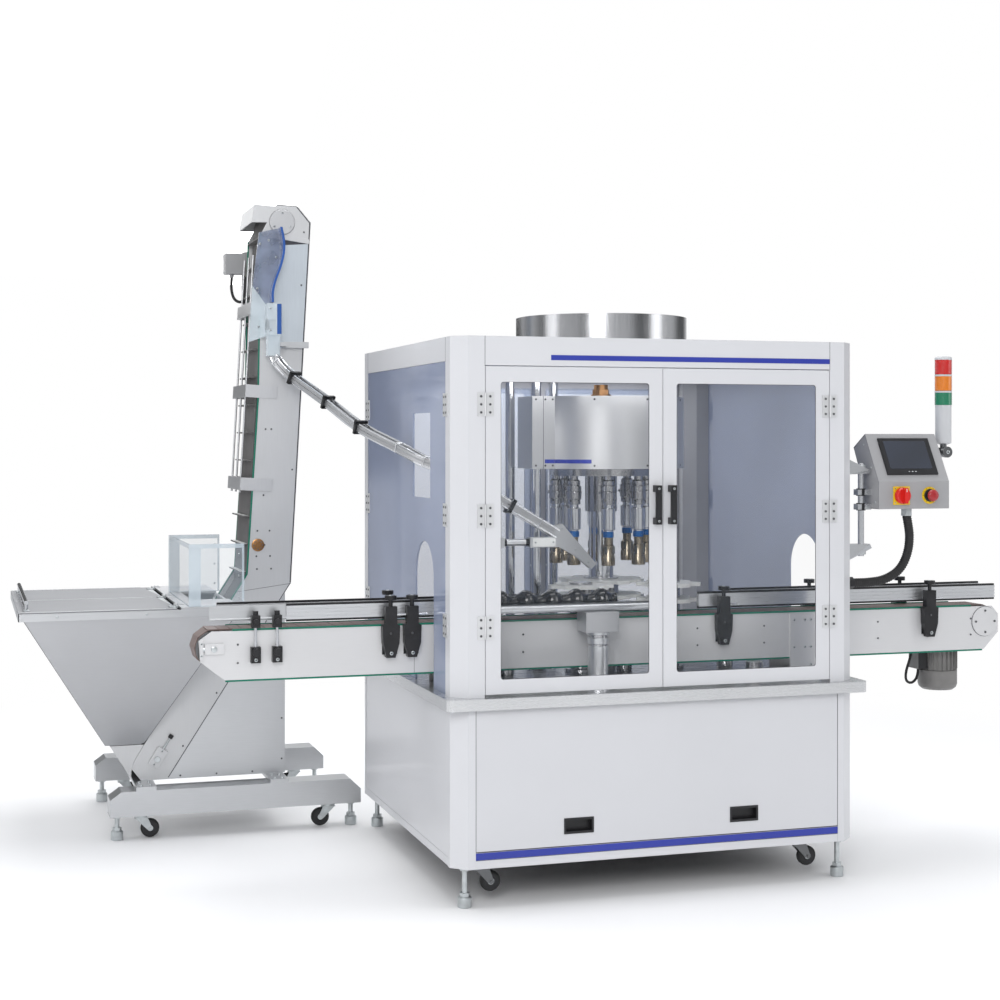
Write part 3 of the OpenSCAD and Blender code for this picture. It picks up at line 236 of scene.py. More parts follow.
class Shape:
    """A mesh under construction. Lengths are in millimetres from the cabinet's corner."""

    def __init__(self, name, *mats):
        self.name = name
        self.mats = list(mats)
        self.bm = bmesh.new()
        self.mat = 0

    def use(self, mat):
        if mat not in self.mats:
            self.mats.append(mat)
        self.mat = self.mats.index(mat)
        return self

    def face(self, verts):
        try:
            f = self.bm.faces.new(verts)
        except ValueError:
            return None
        f.material_index = self.mat
        return f

    def loops(self, rings, close=True, caps=True):
        """Joins rings of points into a skin."""
        vr = [[self.bm.verts.new(at(*p)) for p in ring] for ring in rings]
        n = len(vr[0])
        for a, b in zip(vr, vr[1:]):
            for k in range(n if close else n - 1):
                self.face([a[k], a[(k + 1) % n], b[(k + 1) % n], b[k]])
        if caps:
            self.face(list(reversed(vr[0])))
            self.face(vr[-1])

    def box(self, lo, hi):
        (x0, y0, z0), (x1, y1, z1) = lo, hi
        self.loops([[(x0, y0, z), (x1, y0, z), (x1, y1, z), (x0, y1, z)] for z in (z0, z1)])

    def prism(self, outline, plane, a, b):
        """An outline extruded from a to b: plane is the pair of axes that the outline is drawn in."""
        def point(u, v, w):
            return {"xz": (u, w, v), "yz": (w, u, v), "xy": (u, v, w)}[plane]
        self.loops([[point(u, v, w) for u, v in outline] for w in (a, b)])

    def round(self, base, axis, profile, n=32):
        """Turns a profile of (radius, height) about an axis through base."""
        w = Vector(axis).normalized()
        u = w.orthogonal().normalized()
        v = w.cross(u)
        c = Vector(base)
        turns = [2 * math.pi * k / n for k in range(n)]
        rings = []
        for r, h in profile:
            reach = max(r, 0.01)
            rings.append([tuple(c + w * h + (u * math.cos(a) + v * math.sin(a)) * reach) for a in turns])
        self.loops(rings)

    def cylinder(self, a, b, r, n=32, chamfer=0.0):
        a, b = Vector(a), Vector(b)
        length = (b - a).length
        c = chamfer
        profile = [(r, 0), (r, length)] if not c else [(r - c, 0), (r, c), (r, length - c), (r - c, length)]
        self.round(a, b - a, profile, n)

    def tube(self, path, radii, n):
        """A tube along a path, whose rings take the radii in turn."""
        pts = [Vector(p) for p in path]
        rings, normal = [], None
        for i, p in enumerate(pts):
            d = (pts[min(i + 1, len(pts) - 1)] - pts[max(i - 1, 0)]).normalized()
            normal = (d.orthogonal() if normal is None else normal - d * normal.dot(d)).normalized()
            side = d.cross(normal)
            r = radii[i % len(radii)]
            turns = [2 * math.pi * k / n for k in range(n)]
            rings.append([tuple(p + (normal * math.cos(a) + side * math.sin(a)) * r) for a in turns])
        self.loops(rings)

    def screw(self, p, axis, r=4.0, head=None):
        """A button head screw with a hexagonal socket."""
        was = self.mat
        self.use(head or ZINC)
        self.round(p, axis, [(r, 0), (r, r * 0.25), (r * 0.85, r * 0.5), (r * 0.5, r * 0.6),
                             (r * 0.46, r * 0.3)], 14)
        self.use(SEAM)
        self.round(Vector(p), axis, [(r * 0.45, r * 0.31), (r * 0.44, r * 0.35)], 6)
        self.mat = was

    def screw_pair(self, x, ys, z, r=4.0, head=None):
        """The same screw on the front at the first y, and on the rear at the second."""
        self.screw((x, ys[0], z), FRONT, r, head)
        self.screw((x, ys[1], z), REAR, r, head)

    def plate(self, outline, y, ny, thick):
        """A flat plate on a side wall at y that looks along ny. Its outline is drawn in X and Z."""
        self.prism(outline, "xz", *sorted((y, y + ny * thick)))

    def ring_frame(self, x, z, wx, wz, r, y0, y1, flare=0.0, back=None):
        """A flat frame in X and Z with a window that has round corners and widens by flare to the rear."""
        mx, mz = (wx[0] + wx[1]) / 2, (wz[0] + wz[1]) / 2

        def flared(p, y):
            if y != y1 or not flare:
                return p
            return p[0] + math.copysign(flare, p[0] - mx), p[1] + math.copysign(flare, p[1] - mz)
        inner = round_corners(wx, wz, r)
        corners = (x[1], z[1]), (x[0], z[1]), (x[0], z[0]), (x[1], z[0])
        outer = [corner for corner in corners for _ in range(ARC_STEPS + 1)]
        n = len(inner)
        made = {}

        def vert(u, y, v):
            key = (round(u, 4), round(y, 4), round(v, 4))
            if key not in made:
                made[key] = self.bm.verts.new(at(u, y, v))
            return made[key]
        for i in range(n):
            j = (i + 1) % n
            for y, flip in ((y0, False), (y1, True)):
                (iu, iv), (ju, jv) = flared(inner[i], y), flared(inner[j], y)
                if back and flip:
                    self.use(back)
                q = [vert(iu, y, iv), vert(ju, y, jv), vert(outer[j][0], y, outer[j][1]),
                     vert(outer[i][0], y, outer[i][1])]
                q = [p for k, p in enumerate(q) if p not in q[:k]]
                if len(q) > 2:
                    self.face(q if not flip else list(reversed(q)))
            self.mat = 0
            for pts in (inner, outer):
                if pts[i] != pts[j]:
                    a, b = pts[i], pts[j]
                    c, d = (flared(b, y1), flared(a, y1)) if pts is inner else (b, a)
                    self.face([vert(a[0], y0, a[1]), vert(b[0], y0, b[1]), vert(c[0], y1, c[1]),
                               vert(d[0], y1, d[1])])

    def mirror(self, axis, about):
        """Mirrors everything made so far in the plane at this value of the axis."""
        k = "xyz".index(axis)
        centre = at(about, about, about)[k]
        for v in self.bm.verts:
            v.co[k] = 2 * centre - v.co[k]
        bmesh.ops.reverse_faces(self.bm, faces=self.bm.faces)
        return self

    def done(self, body, cad_slot, *stands_for, bevel=0.0, angle=35, segments=2):
        bmesh.ops.recalc_face_normals(self.bm, faces=self.bm.faces)
        mesh = bpy.data.meshes.new(self.name)
        self.bm.to_mesh(mesh)
        self.bm.free()
        for m in self.mats:
            mesh.materials.append(m)
        obj = bpy.data.objects.new(self.name, mesh)
        bpy.context.scene.collection.objects.link(obj)
        mesh.shade_smooth()
        mesh.set_sharp_from_angle(angle=math.radians(angle))
        if bevel:
            mod = obj.modifiers.new("bevel", "BEVEL")
            mod.width = bevel * 0.001
            mod.segments = segments
            mod.limit_method = "ANGLE"
            mod.angle_limit = math.radians(40)
            mod.harden_normals = True
        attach(obj, body)
        if stands_for:
            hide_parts(*stands_for)
        return obj


def dress(node, default, *rules):
    """Gives a CAD node its materials: each rule is a material and a test of a face's centre and normal."""
    obj = nodes[node]
    mesh = obj.data
    mesh.materials.clear()
    for m in [default] + [r[0] for r in rules]:
        mesh.materials.append(m)
    for poly in mesh.polygons:
        c = (poly.center - CORNER) * 1000
        poly.material_index = 0
        for k, (_, test) in enumerate(rules, 1):
            if test(c, poly.normal):
                poly.material_index = k


def within(x=(-1e9, 1e9), y=(-1e9, 1e9), z=(-1e9, 1e9)):
    return lambda c, n: x[0] <= c.x <= x[1] and y[0] <= c.y <= y[1] and z[0] <= c.z <= z[1]


# ------------------------------------------------------------------ camera and light

EYE = at(-1513, -5327, 1522)
YAW = 0.3034
camera = bpy.data.cameras.new("camera")
camera.sensor_width = 36
camera.lens = 62.02
camera.shift_y = -0.0613
camera.clip_end = 100
camera_obj = bpy.data.objects.new("camera", camera)
camera_obj.location = EYE
camera_obj.rotation_euler = (math.radians(90), 0, -YAW)
bpy.context.scene.collection.objects.link(camera_obj)
bpy.context.scene.camera = camera_obj

world = bpy.data.worlds.new("world")
bpy.context.scene.world = world
world.use_nodes = True
sky = world.node_tree
around = sky.nodes["Background"]
direction = add_node(sky, "TexCoord")
split = add_node(sky, "SeparateXYZ")
link(sky, direction, "Generated", split, "Vector")
grade = add_node(sky, "ValToRGB")
set_ends(grade, 0.25, (0, 0, 0), 0.8, (1, 1, 1))
link(sky, split, "Z", grade, "Fac")
# Light and dark screens stand round the machine, with an even ceiling above them
turn = add_node(sky, "TexGradient")
turn.gradient_type = "RADIAL"
link(sky, direction, "Generated", turn, "Vector")
screens = add_node(sky, "ValToRGB")
BETWEEN_SCREENS = (0.2, 0.2, 0.22)
set_ends(screens, 0.0, BETWEEN_SCREENS, 1.0, BETWEEN_SCREENS)
for spot, level in ((0.05, 0.85), (0.1, 0.8), (0.13, 0.12), (0.2, 0.16), (0.23, 0.95), (0.3, 0.9),
                    (0.33, 0.14), (0.4, 0.1), (0.43, 0.9), (0.5, 0.95), (0.54, 0.16), (0.6, 0.12),
                    (0.63, 0.9), (0.7, 0.9), (0.74, 0.14), (0.8, 0.12), (0.84, 0.95), (0.91, 0.9),
                    (0.95, 0.16)):
    stop = screens.color_ramp.elements.new(spot)
    stop.color = (level * 0.98, level * 0.99, level, 1)
link(sky, turn, "Fac", screens, "Fac")
overhead = add_node(sky, "Mix")
overhead.data_type = "RGBA"
link(sky, grade, "Color", overhead, 0)
link(sky, screens, "Color", overhead, 6)
overhead.inputs[7].default_value = (0.85, 0.87, 0.9, 1)
link(sky, overhead, 2, around, "Color")
around.inputs["Strength"].default_value = 0.85
plain = add_node(sky, "Background", Color=(1, 1, 1, 1))
rays = add_node(sky, "LightPath")
both = add_node(sky, "MixShader")
link(sky, rays, "Is Camera Ray", both, 0)
link(sky, around, "Background", both, 1)
link(sky, plain, "Background", both, 2)
link(sky, both, "Shader", sky.nodes["World Output"], "Surface")
bpy.context.scene.view_settings.view_transform = "Standard"


def lamp(name, place, aim, size, power, size_y=None, hidden=False):
    data = bpy.data.lights.new(name, "AREA")
    data.shape = "RECTANGLE"
    data.size = size
    data.size_y = size_y or size
    data.energy = power
    obj = bpy.data.objects.new(name, data)
    obj.location = place
    obj.rotation_euler = (Vector(aim) - Vector(place)).to_track_quat("-Z", "Y").to_euler()
    obj.visible_camera = not hidden
    bpy.context.scene.collection.objects.link(obj)


lamp("key", (-2.6, -6.5, 3.6), (0.2, 0, 1.0), 2.6, 165)
lamp("fill", (5.0, -3.5, 2.6), (0, 0, 1.0), 1.6, 40, 3.0)
lamp("left", (-5.5, -0.5, 2.6), (0, 0, 1.0), 1.8, 36, 3.0)
lamp("top", (0, 0.2, 6.0), (0, 0, 1.0), 4.5, 190)
lamp("inside_front", (0.28, -0.94, 1.75), (0.3, -0.5, 0.9), 1.15, 2.2, 0.08, hidden=True)
lamp("inside_top", (0.28, 0.05, 1.77), (0.28, 0.05, 0.5), 1.0, 5, 0.6, hidden=True)
lamp("back", (-1.0, 5.5, 4.0), (0, 0, 1.2), 3.0, 60)

floor_mesh = bpy.data.meshes.new("floor")
FLOOR = 60.0
floor_mesh.from_pydata([(-FLOOR, -FLOOR, 0), (FLOOR, -FLOOR, 0), (FLOOR, FLOOR, 0), (-FLOOR, FLOOR, 0)], [],
                       [(0, 1, 2, 3)])
floor = bpy.data.objects.new("floor", floor_mesh)
bpy.context.scene.collection.objects.link(floor)
PALE = material("floor_pale", (0.93, 0.93, 0.935), rough=0.8, grain_size=3, bump=0.0, mottle=0.004, edge=0,
                specular=0.1)
# Away from the machine the floor runs into the white background
tree = PALE.node_tree
place = add_node(tree, "TexCoord")
reach = add_node(tree, "VectorMath")
reach.operation = "LENGTH"
link(tree, place, "Object", reach, "Vector")
fade = add_node(tree, "MapRange", From_Min=2.2, From_Max=4.2)
fade.interpolation_type = "SMOOTHSTEP"
link(tree, reach, "Value", fade, "Value")
seen = add_node(tree, "LightPath")
share = add_node(tree, "Math")
share.operation = "MULTIPLY"
link(tree, fade, "Result", share, 0)
link(tree, seen, "Is Camera Ray", share, 1)
glow = add_node(tree, "Emission")
blend = add_node(tree, "MixShader")
link(tree, share, "Value", blend, 0)
link(tree, tree.nodes["Principled BSDF"], "BSDF", blend, 1)
link(tree, glow, "Emission", blend, 2)
link(tree, blend, "Shader", tree.nodes["Material Output"], "Surface")
floor_mesh.materials.append(PALE)

# Width, depth and height of the cabinet, and the width of its guard posts
W, D, H = 1450, 1330, 1855
POST = 104
MACHINE = "machine"

# ------------------------------------------------------------------ lower cabinet

dress("base_frame", PAINT, (SEAM, within(z=(120, 136), x=(45, W - 45), y=(45, D - 45))))
dress("lower_front_panel", PAINT_WARM,
      (BLACK, lambda c, n: abs(c.z - 251) < 27 and (abs(c.x - 427) < 54 or abs(c.x - 1022) < 54) and
       (c.y < 0.9 or c.y > 5.1 or abs(c.z - 251) < 25)))
dress("levelling_feet", ZINC)
dress("worktop", TABLE)
dress("caster_forks", ZINC, (DARK_STEEL, within(y=(0, D), x=(60, W - 60))))
dress("drive_gearbox", MOTOR)

PANEL_LEFT, PANEL_RIGHT = 73.5, W - 73.5
stripes = Shape("cabinet_stripes", BLUE, SEAM)
stripes.use(BLUE).box((PANEL_LEFT, 0.3, 160.5), (PANEL_RIGHT, 1.0, 183))
stripes.use(SEAM)
stripes.box((PANEL_LEFT, 0.5, 184.2), (PANEL_RIGHT, 3, 186.6))
stripes.box((PANEL_LEFT, 1.6, 158.2), (PANEL_RIGHT, 3, 159.8))
stripes.box((74, 3.5, 644.4), (1376, 5, 646.6))
for x in (74, W - 75):
    stripes.box((x - 0.6, 1.6, 187), (x + 1.6, 3.2, 644))
stripes.done(MACHINE, "white_paint")

# ------------------------------------------------------------------ guard

# The inner faces of the rear posts and header get the darker painted shade instead of the white paint
dress("guard_frame", PAINT, (HINGE, lambda c, n: (c.y < -0.01 or c.y > D + 0.01) and c.z < 1700),
      (PAINTED_SHADE, lambda c, n: c.y > D - 110 and n.y < -0.5))
dress("roof_drum", DRUM)
dress("side_windows", TINT)

trim = Shape("guard_trim", BLUE, SEAM)
trim.use(BLUE).box((330, -0.7, 1779), (1345, 0, 1796))
trim.use(SEAM)
for x in (POST, W - POST):
    for y0, y1 in ((-0.35, 0.3), (D - 0.3, D + 0.35)):
        trim.box((x - 0.7, y0, 1759), (x + 0.7, y1, H))
        trim.box((x - 0.7, y0, 684), (x + 0.7, y1, 693))
for y in (POST, D - POST):
    for x0, x1 in ((-0.35, 0.3), (W - 0.3, W + 0.35)):
        trim.box((x0, y - 0.7, 1776), (x1, y + 0.7, H))
trim.done(MACHINE, "white_paint")

HINGE_ZS = (872, 1234, 1595)
HINGE_H, HINGE_W = 76, 26
HINGE_HOLES = (12, 38, 64)
side_hinges = Shape("side_hinges", HINGE)
for x_post, sx, y_seam, dy in ((0, -1, POST, -1), (0, -1, D - POST, 1), (W, 1, D - POST, 1),
                               (W, 1, POST, -1)):
    x_glass = x_post - sx
    for z in HINGE_ZS:
        a, b = sorted((y_seam, y_seam + dy * HINGE_W))
        side_hinges.box((min(x_post, x_post + sx * 2), a, z), (max(x_post, x_post + sx * 2), b, z + HINGE_H))
        a, b = sorted((y_seam - dy * 2, y_seam - dy * (HINGE_W + 2)))
        g0, g1 = sorted((x_glass, x_glass + sx * 2))
        side_hinges.box((g0, a, z), (g1, b, z + HINGE_H))
        xs = sorted((x_post + sx * 2, x_glass + sx * 2))
        side_hinges.box((xs[0], min(y_seam, y_seam - dy * 2), z),
                        (xs[1], max(y_seam, y_seam - dy * 2), z + HINGE_H))
        for dz in HINGE_HOLES:
            side_hinges.screw((x_post + sx * 2, y_seam + dy * 13, z + dz), (sx, 0, 0), 4.2, DARK_STEEL)
            side_hinges.screw((x_glass + sx * 2, y_seam - dy * 15, z + dz), (sx, 0, 0), 4.2, DARK_STEEL)
side_hinges.done(MACHINE, "stainless", bevel=0.5)

fixed_screws = Shape("hinge_screws_fixed", ZINC)
for x in (POST - 14, W - POST + 14):
    for z in HINGE_ZS:
        for dz in HINGE_HOLES:
            fixed_screws.screw_pair(x, (-2.5, D + 2.5), z + dz, 4.2, DARK_STEEL)
fixed_screws.done(MACHINE, "zinc_steel")

DOOR_X = (106, 724)
DOOR_Z = (693, 1757)
WINDOW_X = (158, 675)
WINDOW_Z = (741, 1706)
GRIP_X = 698
DOORS = (("front_left", "front_door_left", "door_fl", False, False, CLEAR),
         ("front_right", "front_door_right", "door_fr", True, False, CLEAR),
         ("rear_left", "rear_door_left", "door_rl", False, True, TINT_LIGHT),
         ("rear_right", "rear_door_right", "door_rr", True, True, TINT_LIGHT))
for name, node, body, flip_x, flip_y, pane_mat in DOORS:

    def placed(shape):
        if flip_x:
            shape.mirror("x", W / 2)
        if flip_y:
            shape.mirror("y", D / 2)
        return shape
    # The rear doors' inner faces get the darker painted shade
    leaf = Shape("door_" + name, PAINT)
    leaf.ring_frame(DOOR_X, DOOR_Z, WINDOW_X, WINDOW_Z, 10, 0, 28, flare=13, back=PAINTED_SHADE if flip_y
                    else None)
    placed(leaf).done(body, "white_paint", node, bevel=1.2, angle=30)
    gasket = Shape("door_gasket_" + name, SEAM)
    gasket.ring_frame((WINDOW_X[0] - 0.5, WINDOW_X[1] + 0.5), (WINDOW_Z[0] - 0.5, WINDOW_Z[1] + 0.5),
                      (WINDOW_X[0] + 0.9, WINDOW_X[1] - 0.9), (WINDOW_Z[0] + 0.9, WINDOW_Z[1] - 0.9), 9.5,
                      0.8, 2.4)
    placed(gasket).done(body, "black_plastic")
    pane = Shape("door_pane_" + name, pane_mat)
    pane.box((WINDOW_X[0] - 20, 28, WINDOW_Z[0] - 20), (WINDOW_X[1] + 20, 32, WINDOW_Z[1] + 20))
    placed(pane).done(body, "clear_acrylic")
    clips = Shape("door_pane_screws_" + name, ZINC)
    for x in (WINDOW_X[0] - 17, WINDOW_X[1] + 17):
        for z in range(780, 1700, 230):
            clips.round((x, 32, z), REAR, [(3.4, 0), (3.4, -0.6), (1, -0.7)], 12)
    placed(clips).done(body, "zinc_steel")
    grip = Shape("door_handle_" + name, BLACK)
    grip.prism([(GRIP_X - 10, 1237), (GRIP_X + 10, 1237), (GRIP_X + 10, 1367), (GRIP_X - 10, 1367)], "xz",
               -34, -24)
    for z0, z1 in ((1237, 1259), (1345, 1367)):
        grip.box((GRIP_X - 9.5, -24, z0), (GRIP_X + 9.5, -0.2, z1))
        grip.screw((GRIP_X, -32.4, (z0 + z1) / 2), FRONT, 4.2)
    grip.use(BLACK_GLOSS)
    grip.box((GRIP_X - 6.5, -34.3, 1262), (GRIP_X + 6.5, -33.9, 1342))
    placed(grip).done(body, "black_plastic", bevel=1.6)
    leaves = Shape("door_hinge_leaves_" + name, HINGE)
    for z in HINGE_ZS:
        leaves.use(HINGE).box((109, -2.4, z), (133, 0, z + HINGE_H))
        for dz in HINGE_HOLES:
            leaves.screw((121, -2.4, z + dz), FRONT, 4.2, DARK_STEEL)
    placed(leaves).done(body, "stainless", bevel=0.5)

# ------------------------------------------------------------------ turret and stars

TURRET = (786, 745)
dress("head_housing", HOUSING, (BRASS, within(z=(1676.5, 1800))))
dress("turret_carrier", TURNED)
dress("table_fittings", TURNED,
      (CHROME, lambda c, n: any(abs(c.x - px) < 19 and abs(c.y - py) < 19 and c.z > 705
                                for px, py in ((475, 895), (480, 600), (1095, 895), (730, 1130)))),
      (ALU, lambda c, n: 206 < c.y < 234 and 930 < c.z < 956.5),
      (DARK_STEEL, lambda c, n: 231 < c.y < 261 and 948 < c.z < 958),
      (STEEL_SATIN, within(x=(514, 636), y=(169, 263), z=(861, 931))))
dress("main_star", TURNED,
      (WHITE, lambda c, n: c.z > 905 and math.hypot(c.x - TURRET[0], c.y - TURRET[1]) > 67),
      (CHROME, lambda c, n: c.z > 1005))
for node, cx, cy in (("infeed_star", 616, 500), ("discharge_star", 956, 500)):
    dress(node, TURNED, (WHITE, lambda c, n, cx=cx, cy=cy: c.z > 905 and math.hypot(c.x - cx, c.y - cy) > 43))
dress("timing_screw", BLACK_GLOSS, (ZINC, within(x=(0, 205))))

SLEEVE = (575, 216)
pillar = Shape("guide_post_sleeve", ALU)
pillar.round((*SLEEVE, 684), UP, [(46, 0.2), (46, 3), (41, 9), (36, 18), (34.5, 24), (34.5, 128), (32, 130),
                                  (32, 134), (36, 136), (36, 156), (31, 158), (31, 166), (40, 168),
                                  (40, 176.8)])
for x in (540, 610):
    pillar.screw((x, SLEEVE[1] - 14, 852), (-1 if x < SLEEVE[0] else 1, -1, 0), 4.5)
pillar.done(MACHINE, "polished_steel", bevel=0.5)

cover = Shape("housing_trim", BLUE, SEAM)
HOUSING_R = 309
SCREW_ROWS = (1425, 1664)
for a in (-62, -25, 12, 50, 88, 126, 164, 202):
    t = math.radians(a)
    d = (math.sin(t), -math.cos(t), 0)
    for z in SCREW_ROWS:
        cover.screw((TURRET[0] + d[0] * HOUSING_R, TURRET[1] + d[1] * HOUSING_R, z), d, 4.0, DARK_STEEL)
for x in (502, 530, 466):
    for z in SCREW_ROWS:
        cover.screw((x, 561, z), FRONT, 4.0, DARK_STEEL)
cover.use(SEAM).box((493.6, 560.6, 1413.5), (495.2, 561.4, 1675.5))
cover.use(BLUE).box((500, 560.4, 1433), (537, 561, 1447))
BAND_FROM, BAND_TO, BAND_STEPS = -53.4, -27, 24
rings = []
for k in range(BAND_STEPS + 1):
    t = math.radians(BAND_FROM + (BAND_TO - BAND_FROM) * k / BAND_STEPS)
    x, y = math.sin(t), -math.cos(t)
    rings.append([(TURRET[0] + x * r, TURRET[1] + y * r, z)
                  for r, z in ((HOUSING_R - 1, 1433), (HOUSING_R + 0.5, 1433),
                               (HOUSING_R + 0.5, 1447), (HOUSING_R - 1, 1447))])
cover.loops(rings)
cover.done("head_carriage", "white_paint")

HEAD_COUNT, HEAD_CIRCLE, FIRST_HEAD = 8, 170, -11.7
for i in range(1, HEAD_COUNT + 1):
    a = math.radians((i - 1) * 360 / HEAD_COUNT + FIRST_HEAD)
    cx, cy = TURRET[0] + HEAD_CIRCLE * math.sin(a), TURRET[1] - HEAD_CIRCLE * math.cos(a)
    head = Shape("capping_head_detail_%d" % i, TURNED)
    base = (cx, cy, 0)
    head.round(base, UP, [(15.9, 1404), (15.9, 1371), (20, 1370), (23.5, 1366), (23.5, 1353), (21, 1352),
                          (21, 1349.5), (27.5, 1348), (27.5, 1330), (25.5, 1329), (25.5, 1326), (27.8, 1325),
                          (27.8, 1301), (24.5, 1297), (24.5, 1281), (18, 1279)], 32)
    head.use(CHROME).round(base, UP, [(17.5, 1279), (17.5, 1268), (24, 1267.5), (25.8, 1265), (25.8, 1190),
                                      (24, 1188), (16.5, 1186.5), (16.5, 1182)], 32)
    head.use(BLUE_RING).round(base, UP, [(17, 1182), (19.8, 1181), (19.8, 1161), (17, 1160)], 32)
    head.use(BRONZE).round(base, UP, [(15.8, 1160), (15.8, 1135), (20.8, 1131), (20.8, 1097), (24.8, 1090),
                                      (24.8, 1058), (23, 1057), (15.5, 1057), (15.2, 1085), (0, 1085)], 32)
    head.use(TURNED)
    for k in range(3):
        b = math.radians(k * 120 + 20)
        d = Vector((math.cos(b), math.sin(b), 0))
        p = Vector((cx, cy, 1322))
        head.cylinder(p + d * 25, p + d * 34.6, 6.6, 18, 1.0)
        head.cylinder(p + d * 22 + Vector((0, 0, 22)), p + d * 30 + Vector((0, 0, 22)), 3.0, 12, 0.6)
    head.use(DARK_STEEL)
    for k in range(4):
        b = math.radians(k * 90 + 45)
        d = Vector((math.cos(b), math.sin(b), 0))
        s = Vector((-d.y, d.x, 0))
        o = Vector((cx, cy, 0))
        for z0, z1 in ((1100, 1128), (1290, 1297)):
            pts = [o + d * r + s * w for r, w in ((19, -5), (24.6, -4), (24.6, 4), (19, 5))]
            head.loops([[(p.x, p.y, z) for p in pts] for z in (z0, z1)])
    head.done("head_%d" % i, "stainless", "capping_head_%d" % i, bevel=0.3)

# ------------------------------------------------------------------ conveyor

# The belt's centre line and top, the radius of its turns, and the faces of the side plates
BELT_Y, BELT_Z, TURN_R = 373, 900, 62
ARC_R = 59.2
CY0, CY1 = 293, 453
TAIL_X, DRIVE_X = -728, 2150
ROLL_Z = BELT_Z - TURN_R
NEAR_KNOBS, FAR_KNOBS = (-142, -68, 1074, 1905), (-105, 1512, 1894)
SLAT_PITCH = 38.1
dress("conveyor_frame", PLATE)
dress("conveyor_drive_roller", DARK_STEEL)
dress("conveyor_tail_roller", DARK_STEEL)
dress("guide_rails", ALU, (BLACK, lambda c, n: c.z > 970.5 or c.z < 924.5),
      (STEEL, within(x=(-741, -486), y=(315, 325))))
dress("rail_brackets", BLACK,
      (STEEL, lambda c, n: (c.y > 290.2 and c.y < 296 and 800 < c.z < 889) or
       (450 < c.y < 455.9 and 800 < c.z < 889)),
      (CHROME, lambda c, n: abs(c.z - 934) < 4.5 and abs(n.z) < 0.99 and
       any(20.5 < c.x - x < 53 for x in NEAR_KNOBS + FAR_KNOBS)),
      (CHROME, lambda c, n: 845 < c.z < 903 and c.x < -500),
      (CHROME, lambda c, n: abs(c.z - 948) < 7 and (291 < c.y < 311 or 435 < c.y < 455)))
dress("conveyor_gearmotor", MOTOR,
      (RUBBER, lambda c, n: (c.z < 727 and (c.x < 1923 or (c.z < 654 and c.x < 1948)))),
      (BLACK, within(x=(1924, 1962), z=(655, 729))))

belt = Shape("conveyor_slats", SLAT)
straight = DRIVE_X - TAIL_X
total = 2 * straight + 2 * math.pi * TURN_R
count = int(total / SLAT_PITCH)
for k in range(count):
    s = total * k / count
    if s < straight:
        p, d = Vector((TAIL_X + s, 0, BELT_Z)), Vector((1, 0, 0))
    elif s < straight + math.pi * TURN_R:
        a = (s - straight) / TURN_R
        p = Vector((DRIVE_X + ARC_R * math.sin(a), 0, ROLL_Z + ARC_R * math.cos(a)))
        d = Vector((math.cos(a), 0, -math.sin(a)))
    elif s < 2 * straight + math.pi * TURN_R:
        p, d = Vector((DRIVE_X - (s - straight - math.pi * TURN_R), 0, ROLL_Z - TURN_R)), Vector((-1, 0, 0))
    else:
        a = (s - 2 * straight - math.pi * TURN_R) / TURN_R
        p = Vector((TAIL_X - ARC_R * math.sin(a), 0, ROLL_Z - ARC_R * math.cos(a)))
        d = Vector((-math.cos(a), 0, math.sin(a)))
    n = Vector((-d.z, 0, d.x))
    half = 18.2
    section = [p - d * half - n * 4.6, p + d * half - n * 4.6, p + d * half - n * 0.8,
               p + d * (half - 0.9) - n * 0.1, p - d * (half - 0.9) - n * 0.1, p - d * half - n * 0.8]
    belt.loops([[(q.x, y, q.z) for q in section] for y in (BELT_Y - 57, BELT_Y + 57)])
    hinge_c = p + d * 19.0 - n * 3.4
    belt.cylinder((hinge_c.x, BELT_Y - 56, hinge_c.z), (hinge_c.x, BELT_Y + 56, hinge_c.z), 1.5, 8)
belt.done(MACHINE, "belt_plastic", "conveyor_belt", angle=30)

strips = Shape("wear_strips", GREEN)
for y, y_low in ((CY0 - 2, CY0), (CY1 - 8, CY1 - 10)):
    strips.box((-668, y, 895.2), (2090, y + 10, 901))
    strips.box((-690, y_low, 729), (2140, y_low + 10, 734.8))
strips.done(MACHINE, "belt_plastic", bevel=0.8)

fit = Shape("conveyor_screws", ZINC)
for a in (90, 0, 180, 270):
    x, z = around_point(DRIVE_X, ROLL_Z, 40, a)
    fit.screw_pair(x, (CY0 - 4, CY1 + 4), z, 4.5, DARK_STEEL)
for x, z in ((1357, 868), (1400, 868), (1424, 868), (1357, 770), (1400, 770), (1424, 770), (1424, 706)):
    fit.screw_pair(x, (CY0 - 6, CY1 + 6), z, 5.0)
for x, z in ((60, 868), (108, 868), (60, 770), (108, 770)):
    fit.screw((x, CY0 - 6, z), FRONT, 5.0)
for x in (-650, 200, 330, 980, 1240, 1700, 2090):
    for z in (850, 790):
        fit.screw_pair(x, (CY0, CY1), z, 3.6, DARK_STEEL)
for y, ny in ((CY0, -1), (CY1, 1)):
    fit.use(SEAM).round((DRIVE_X, y, ROLL_Z), (0, ny, 0), [(56.4, 0), (56.4, 0.5)], 56)
fit.use(SEAM).box((-56.6, CY0 - 0.25, 735), (-55.4, CY0 + 0.2, 895))
fit.use(ZINC)
for z in (818, 857):
    fit.screw((TAIL_X - 41, CY0 - 12, z), FRONT, 4.0)
fit.round((TAIL_X, CY0 - 9, ROLL_Z), FRONT, [(10, 0), (10, 2), (8, 3), (3, 3)], 24)
fit.round((TAIL_X - 30, CY0 - 5, ROLL_Z), (-1, 0, 0), [(7, 0), (7, 6)], 6)
fit.done(MACHINE, "zinc_steel")

